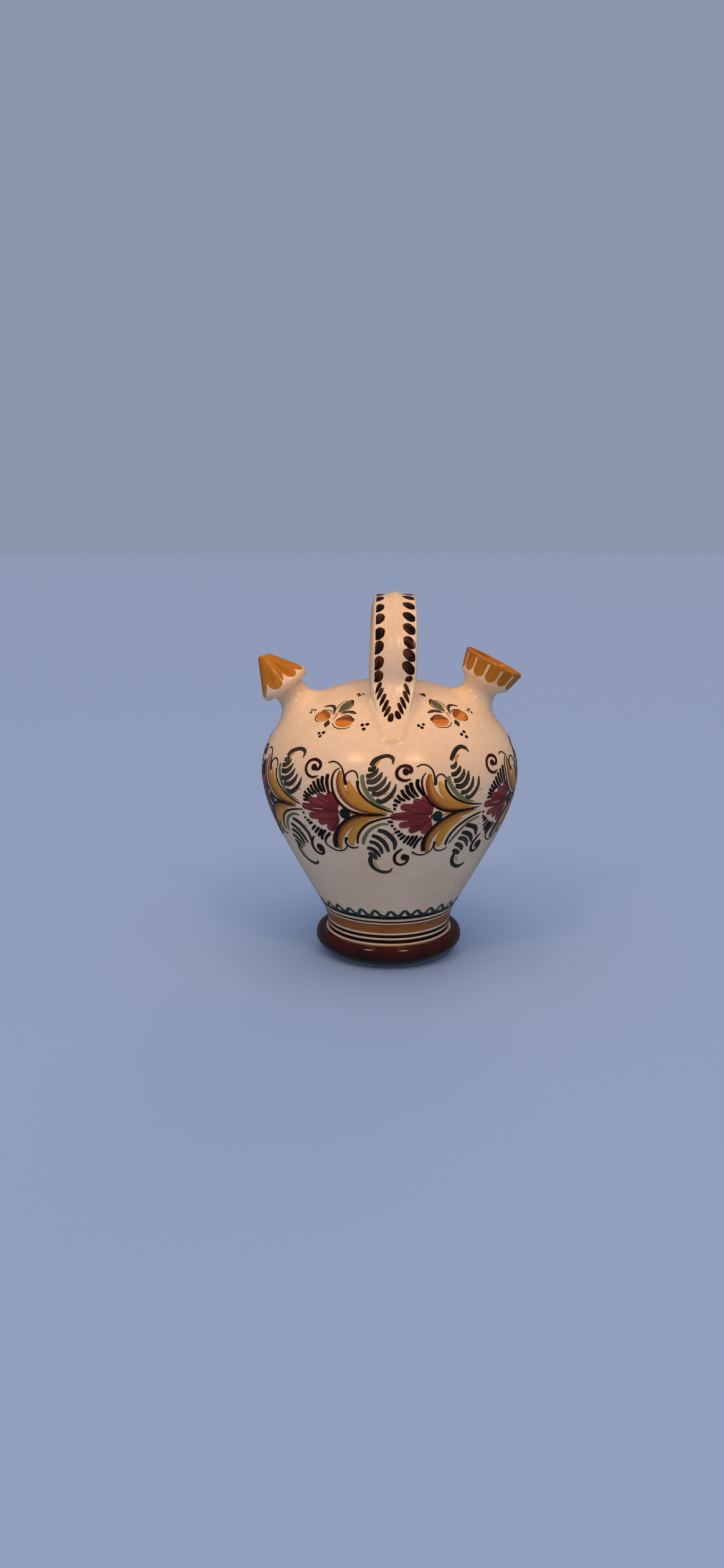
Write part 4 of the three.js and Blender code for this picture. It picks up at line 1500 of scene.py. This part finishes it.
# The same down the spout's cone and over its rounded edge
def conePlace(turn):
    edge, roundness = math.radians(spout["coneEdge"]), spout["coneRound"]
    bottom = coneMiddle + heading(edge) * roundness

    def place(u, w, lift):
        if w < bottom.y:
            spot = coneMiddle + heading(edge - (bottom.y - w) / roundness) * (roundness + lift)
            return neckPoint(spout, spot.x, spot.y, turn + u / bottom.x)
        share = (w - bottom.y) / (spout["tipEnd"] - bottom.y)
        angle = turn + u / blendBetween(bottom.x, spout["tip"], share)
        top = tipMiddle(angle) + heading(math.radians(spout["tipEdge"])) * spout["tipRound"]
        out = Vector((top.y - bottom.y, bottom.x - top.x)).normalized()
        spot = bottom.lerp(top, share) + out * lift
        return neckPoint(spout, spot.x, spot.y, angle)

    return place


def paintNecks():
    paint = Paint()

    def drop(place, start, end, widths, layer):
        paint.stroke(place, [(0, start), (0, (start + end) / 2), (0, end)], widths, layer, blunt=True)

    s = collarPetals
    for i in range(s["count"]):
        turn = 2 * math.pi * (i + s["first"] + dice.uniform(-s["drift"], s["drift"])) / s["count"]
        low = s["to"] + dice.uniform(-s["uneven"], s["uneven"])
        drop(collarPlace(turn), s["from"], low, s["widths"], 1)
    s = coneLobes
    for i, (degrees, low, share) in enumerate(s["lobes"]):
        turn = math.radians(degrees + dice.uniform(-s["drift"], s["drift"]))
        drop(conePlace(turn), s["from"], low, [width * share for width in s["widths"]], 1 + i % 2)
    colours = {key: ochrePaint[key] for key in ("edge", "middle", "light")}
    material = brushPaint("paint_ochre", streaks=1.6, pooling=0.0, variety=0.05, **colours)
    paint.finish("ochre_petals", material, "ochre_glaze")


# Dark dabs along both edges of the strap, closing to a point on the pressed ends: half drops on the left,
# slanting ovals on the right, and slim leaves where the two rows close
dabs = {
    "leftRows": [3.0, 15.0, 29.4, 40.8, 53.0, 63.3, 74.0, 84.0],  # mm from the strap's top
    "rightRows": [2.5, 14.0, 27.5, 39.8, 50.5, 60.6, 69.5, 78.4],
    "left": ([(-12, -4.4), (-11.9, -2), (-12.2, 0.8), (-13.3, 3.2), (-15.2, 5.6)], [5.6, 7.3, 7, 4.8, 1]),
    "right": ([(5.8, -4), (8.7, -1.9), (11.6, 0.9), (14.2, 3.9)], [5, 7.2, 7.2, 4.8]),
    "oval": ([(9.6, 83.4), (10.6, 86.2), (11.4, 89.2)], [5, 6.2, 5]),
    "leaf": ([(-2, -5.2), (-0.8, -2), (0.6, 1.8), (2.1, 5.6)], [2.3, 3.1, 2.7, 0.8]),
    "leftLeaves": [  # across and along
        (-11.8, 94.2), (-10.1, 99.9), (-8.3, 105.1), (-6.3, 110.9), (-4.9, 116.7),
    ],
    "rightLeaves": [(9.5, 95.8), (8.8, 102.6), (7.2, 108.3), (5.3, 113.5)],
    "last": [
        ([(-1.3, 117.4), (-2, 121.6), (-2.6, 126.6)], [2.8, 4.4, 4.4]),
        ([(2, 115.6), (3, 119.6), (4.4, 124.4)], [2.8, 4.2, 3.2]),
    ],
    "shake": 0.2,
    "layer": 4,
    "leafLayer": 5,
    "edgeFrom": 0.86,  # share across from which a dab follows the strap's edge instead of crossing it
    "edgeTo": 0.97,
    "domeFrom": 0.7,  # how full the strap is where its dabs start to run on to the dome
    "float": 0.1,  # clear of the dome's faces
    "blend": 0.3,
    "colours": dict(edge="#0c0605", middle="#26150d", light="#6b4428", pooling=0.6, fade=0.35, variety=0.25),
}


# A place on the strap's outer face, or on the dome where the strap's end lies under its glaze
def strapPlace(u, w, lift):
    full = strapLine(-w)[4]
    across = abs(u) / (handle["outerWidth"] / 2 * strapNarrow(full, limbShare(w)))
    edge = dabs["edgeFrom"]
    room = dabs["edgeTo"] - edge
    if across > edge:
        across = edge + room * (1 - math.exp((edge - across) / room))
    spot = strapPoint(math.copysign(across, u), True, -w, lift)
    if full < dabs["domeFrom"]:
        dome = swollenDome(spot.x, spot.y, lift + dabs["float"])
        blend = dabs["blend"]
        spot.z = max(spot.z, dome) + blend * math.log(1 + math.exp(-abs(spot.z - dome) / blend))
    return spot


def paintDabs():
    paint = Paint()

    def dab(end, shape, layer, across=0, along=0, mirror=1):
        points, widths = shape
        spots = [((across + u * mirror) * end, -(along + w) * end) for u, w in points]
        paint.stroke(strapPlace, spots, widths, layer, dabs["shake"])

    layer, leafLayer = dabs["layer"], dabs["leafLayer"]
    for end in (1, -1):
        for rows, shape in (("leftRows", "left"), ("rightRows", "right")):
            for along in dabs[rows][0 if end > 0 else 1:]:  # the two ends share the topmost dabs
                dab(end, dabs[shape], layer, along=along)
        dab(end, dabs["oval"], layer)
        for leaves, mirror in (("leftLeaves", -1), ("rightLeaves", 1)):
            for across, along in dabs[leaves]:
                dab(end, dabs["leaf"], leafLayer, across, along, mirror)
        for shape in dabs["last"]:
            dab(end, shape, leafLayer)
    paint.finish("handle_dabs", brushPaint("paint_dabs", **dabs["colours"]), "brown_glaze")


makeBody()
print("body turned")
makeFoot()
neckPiece(mouth, mouthOutline, "filling_mouth_glazed", "mouth_glaze", ("filling_mouth", "mouth_luting_coil"))
neckPiece(spout, spoutOutline, "pouring_spout_glazed", "spout_glaze", ("pouring_spout", "spout_luting_coil"))
makeHandle()
print("foot, necks and handle made")
paintGarland()
print("garland painted")
paintSprigs()
paintWave()
paintNecks()
paintDabs()
print("sprigs, wave, necks and handle painted")

# Plain pale floor and soft light: warm lamps in front and above, a weak one behind and a cool, even room
stage = {
    "floor": "#88ace2",
    "floorSize": 40.0,
    "floorRoughness": 0.75,
    "grain": 3.33,  # mm across
    "grainHeight": 0.3,
    "grainStrength": 0.2,
    "backdrop": "#8b96ac",
    "room": "#c9deff",
    "roomStrength": 0.46,
    "roomMirrored": 0.12,  # its strength in the glaze's reflections
    "lampColour": "#ffc890",
    "lamps": [  # direction, strength, degrees across, and whether the glaze mirrors it
        ((-1.07, -1.37, 1.62), 0.5, 11.0, True), ((0.77, -1.5, 1.66), 0.5, 11.0, True),
        ((0, -0.3, 1), 1.9, 60.0, False), ((0.5, 1.7, 1.4), 0.4, 26.0, False),
    ],
}


# A matt painted board with a fine grain
def makeFloor():
    material, add, place = newMaterial("pale_floor")
    grain = add("TexNoise", {"Vector": place}, {"Scale": scaleFor(stage["grain"]), "Detail": 2})
    bump = add(
        "Bump", {"Height": grain},
        {"Strength": stage["grainStrength"], "Distance": stage["grainHeight"] * metres},
    )
    shader = add(
        "BsdfPrincipled", {"Normal": bump},
        {"Base Color": hexColour(stage["floor"]), "Roughness": stage["floorRoughness"]},
    )
    add("OutputMaterial", {"Surface": shader})
    bm = bmesh.new()
    bmesh.ops.create_circle(bm, cap_ends=True, segments=64, radius=stage["floorSize"])
    floor = addObject("floor", meshFrom(bm, "floor", material))
    floor.visible_glossy = False  # the glaze mirrors the dim room only, as beside a shaded wall


def makeLight():
    world = bpy.data.worlds.new("room")
    world.use_nodes = True
    bpy.context.scene.world = world
    world.node_tree.nodes.clear()
    add = partial(addNode, world.node_tree)
    rays = add("LightPath")
    seen = add("Background", values={"Color": hexColour(stage["backdrop"]), "Strength": 1.0})
    strength = add(
        "MapRange", {"Value": rays.outputs["Is Glossy Ray"]},
        {"To Min": stage["roomStrength"], "To Max": stage["roomMirrored"]},
    )
    lit = add("Background", {"Strength": strength}, {"Color": hexColour(stage["room"])})
    either = add("MixShader", {0: rays.outputs["Is Camera Ray"], 1: lit, 2: seen})
    add("OutputWorld", {"Surface": either})
    for i, (direction, strength, width, mirrored) in enumerate(stage["lamps"]):
        lamp = bpy.data.lights.new(f"lamp_{i}", "SUN")
        lamp.angle = math.radians(width)
        lamp.energy = strength
        lamp.color = hexColour(stage["lampColour"])[:3]
        light = addObject(f"lamp_{i}", lamp)
        light.visible_glossy = mirrored
        light.rotation_euler = (-Vector(direction)).to_track_quat("-Z", "Y").to_euler()


makeFloor()
makeLight()
bpy.context.scene.view_settings.view_transform = "Standard"
print("stage lit")
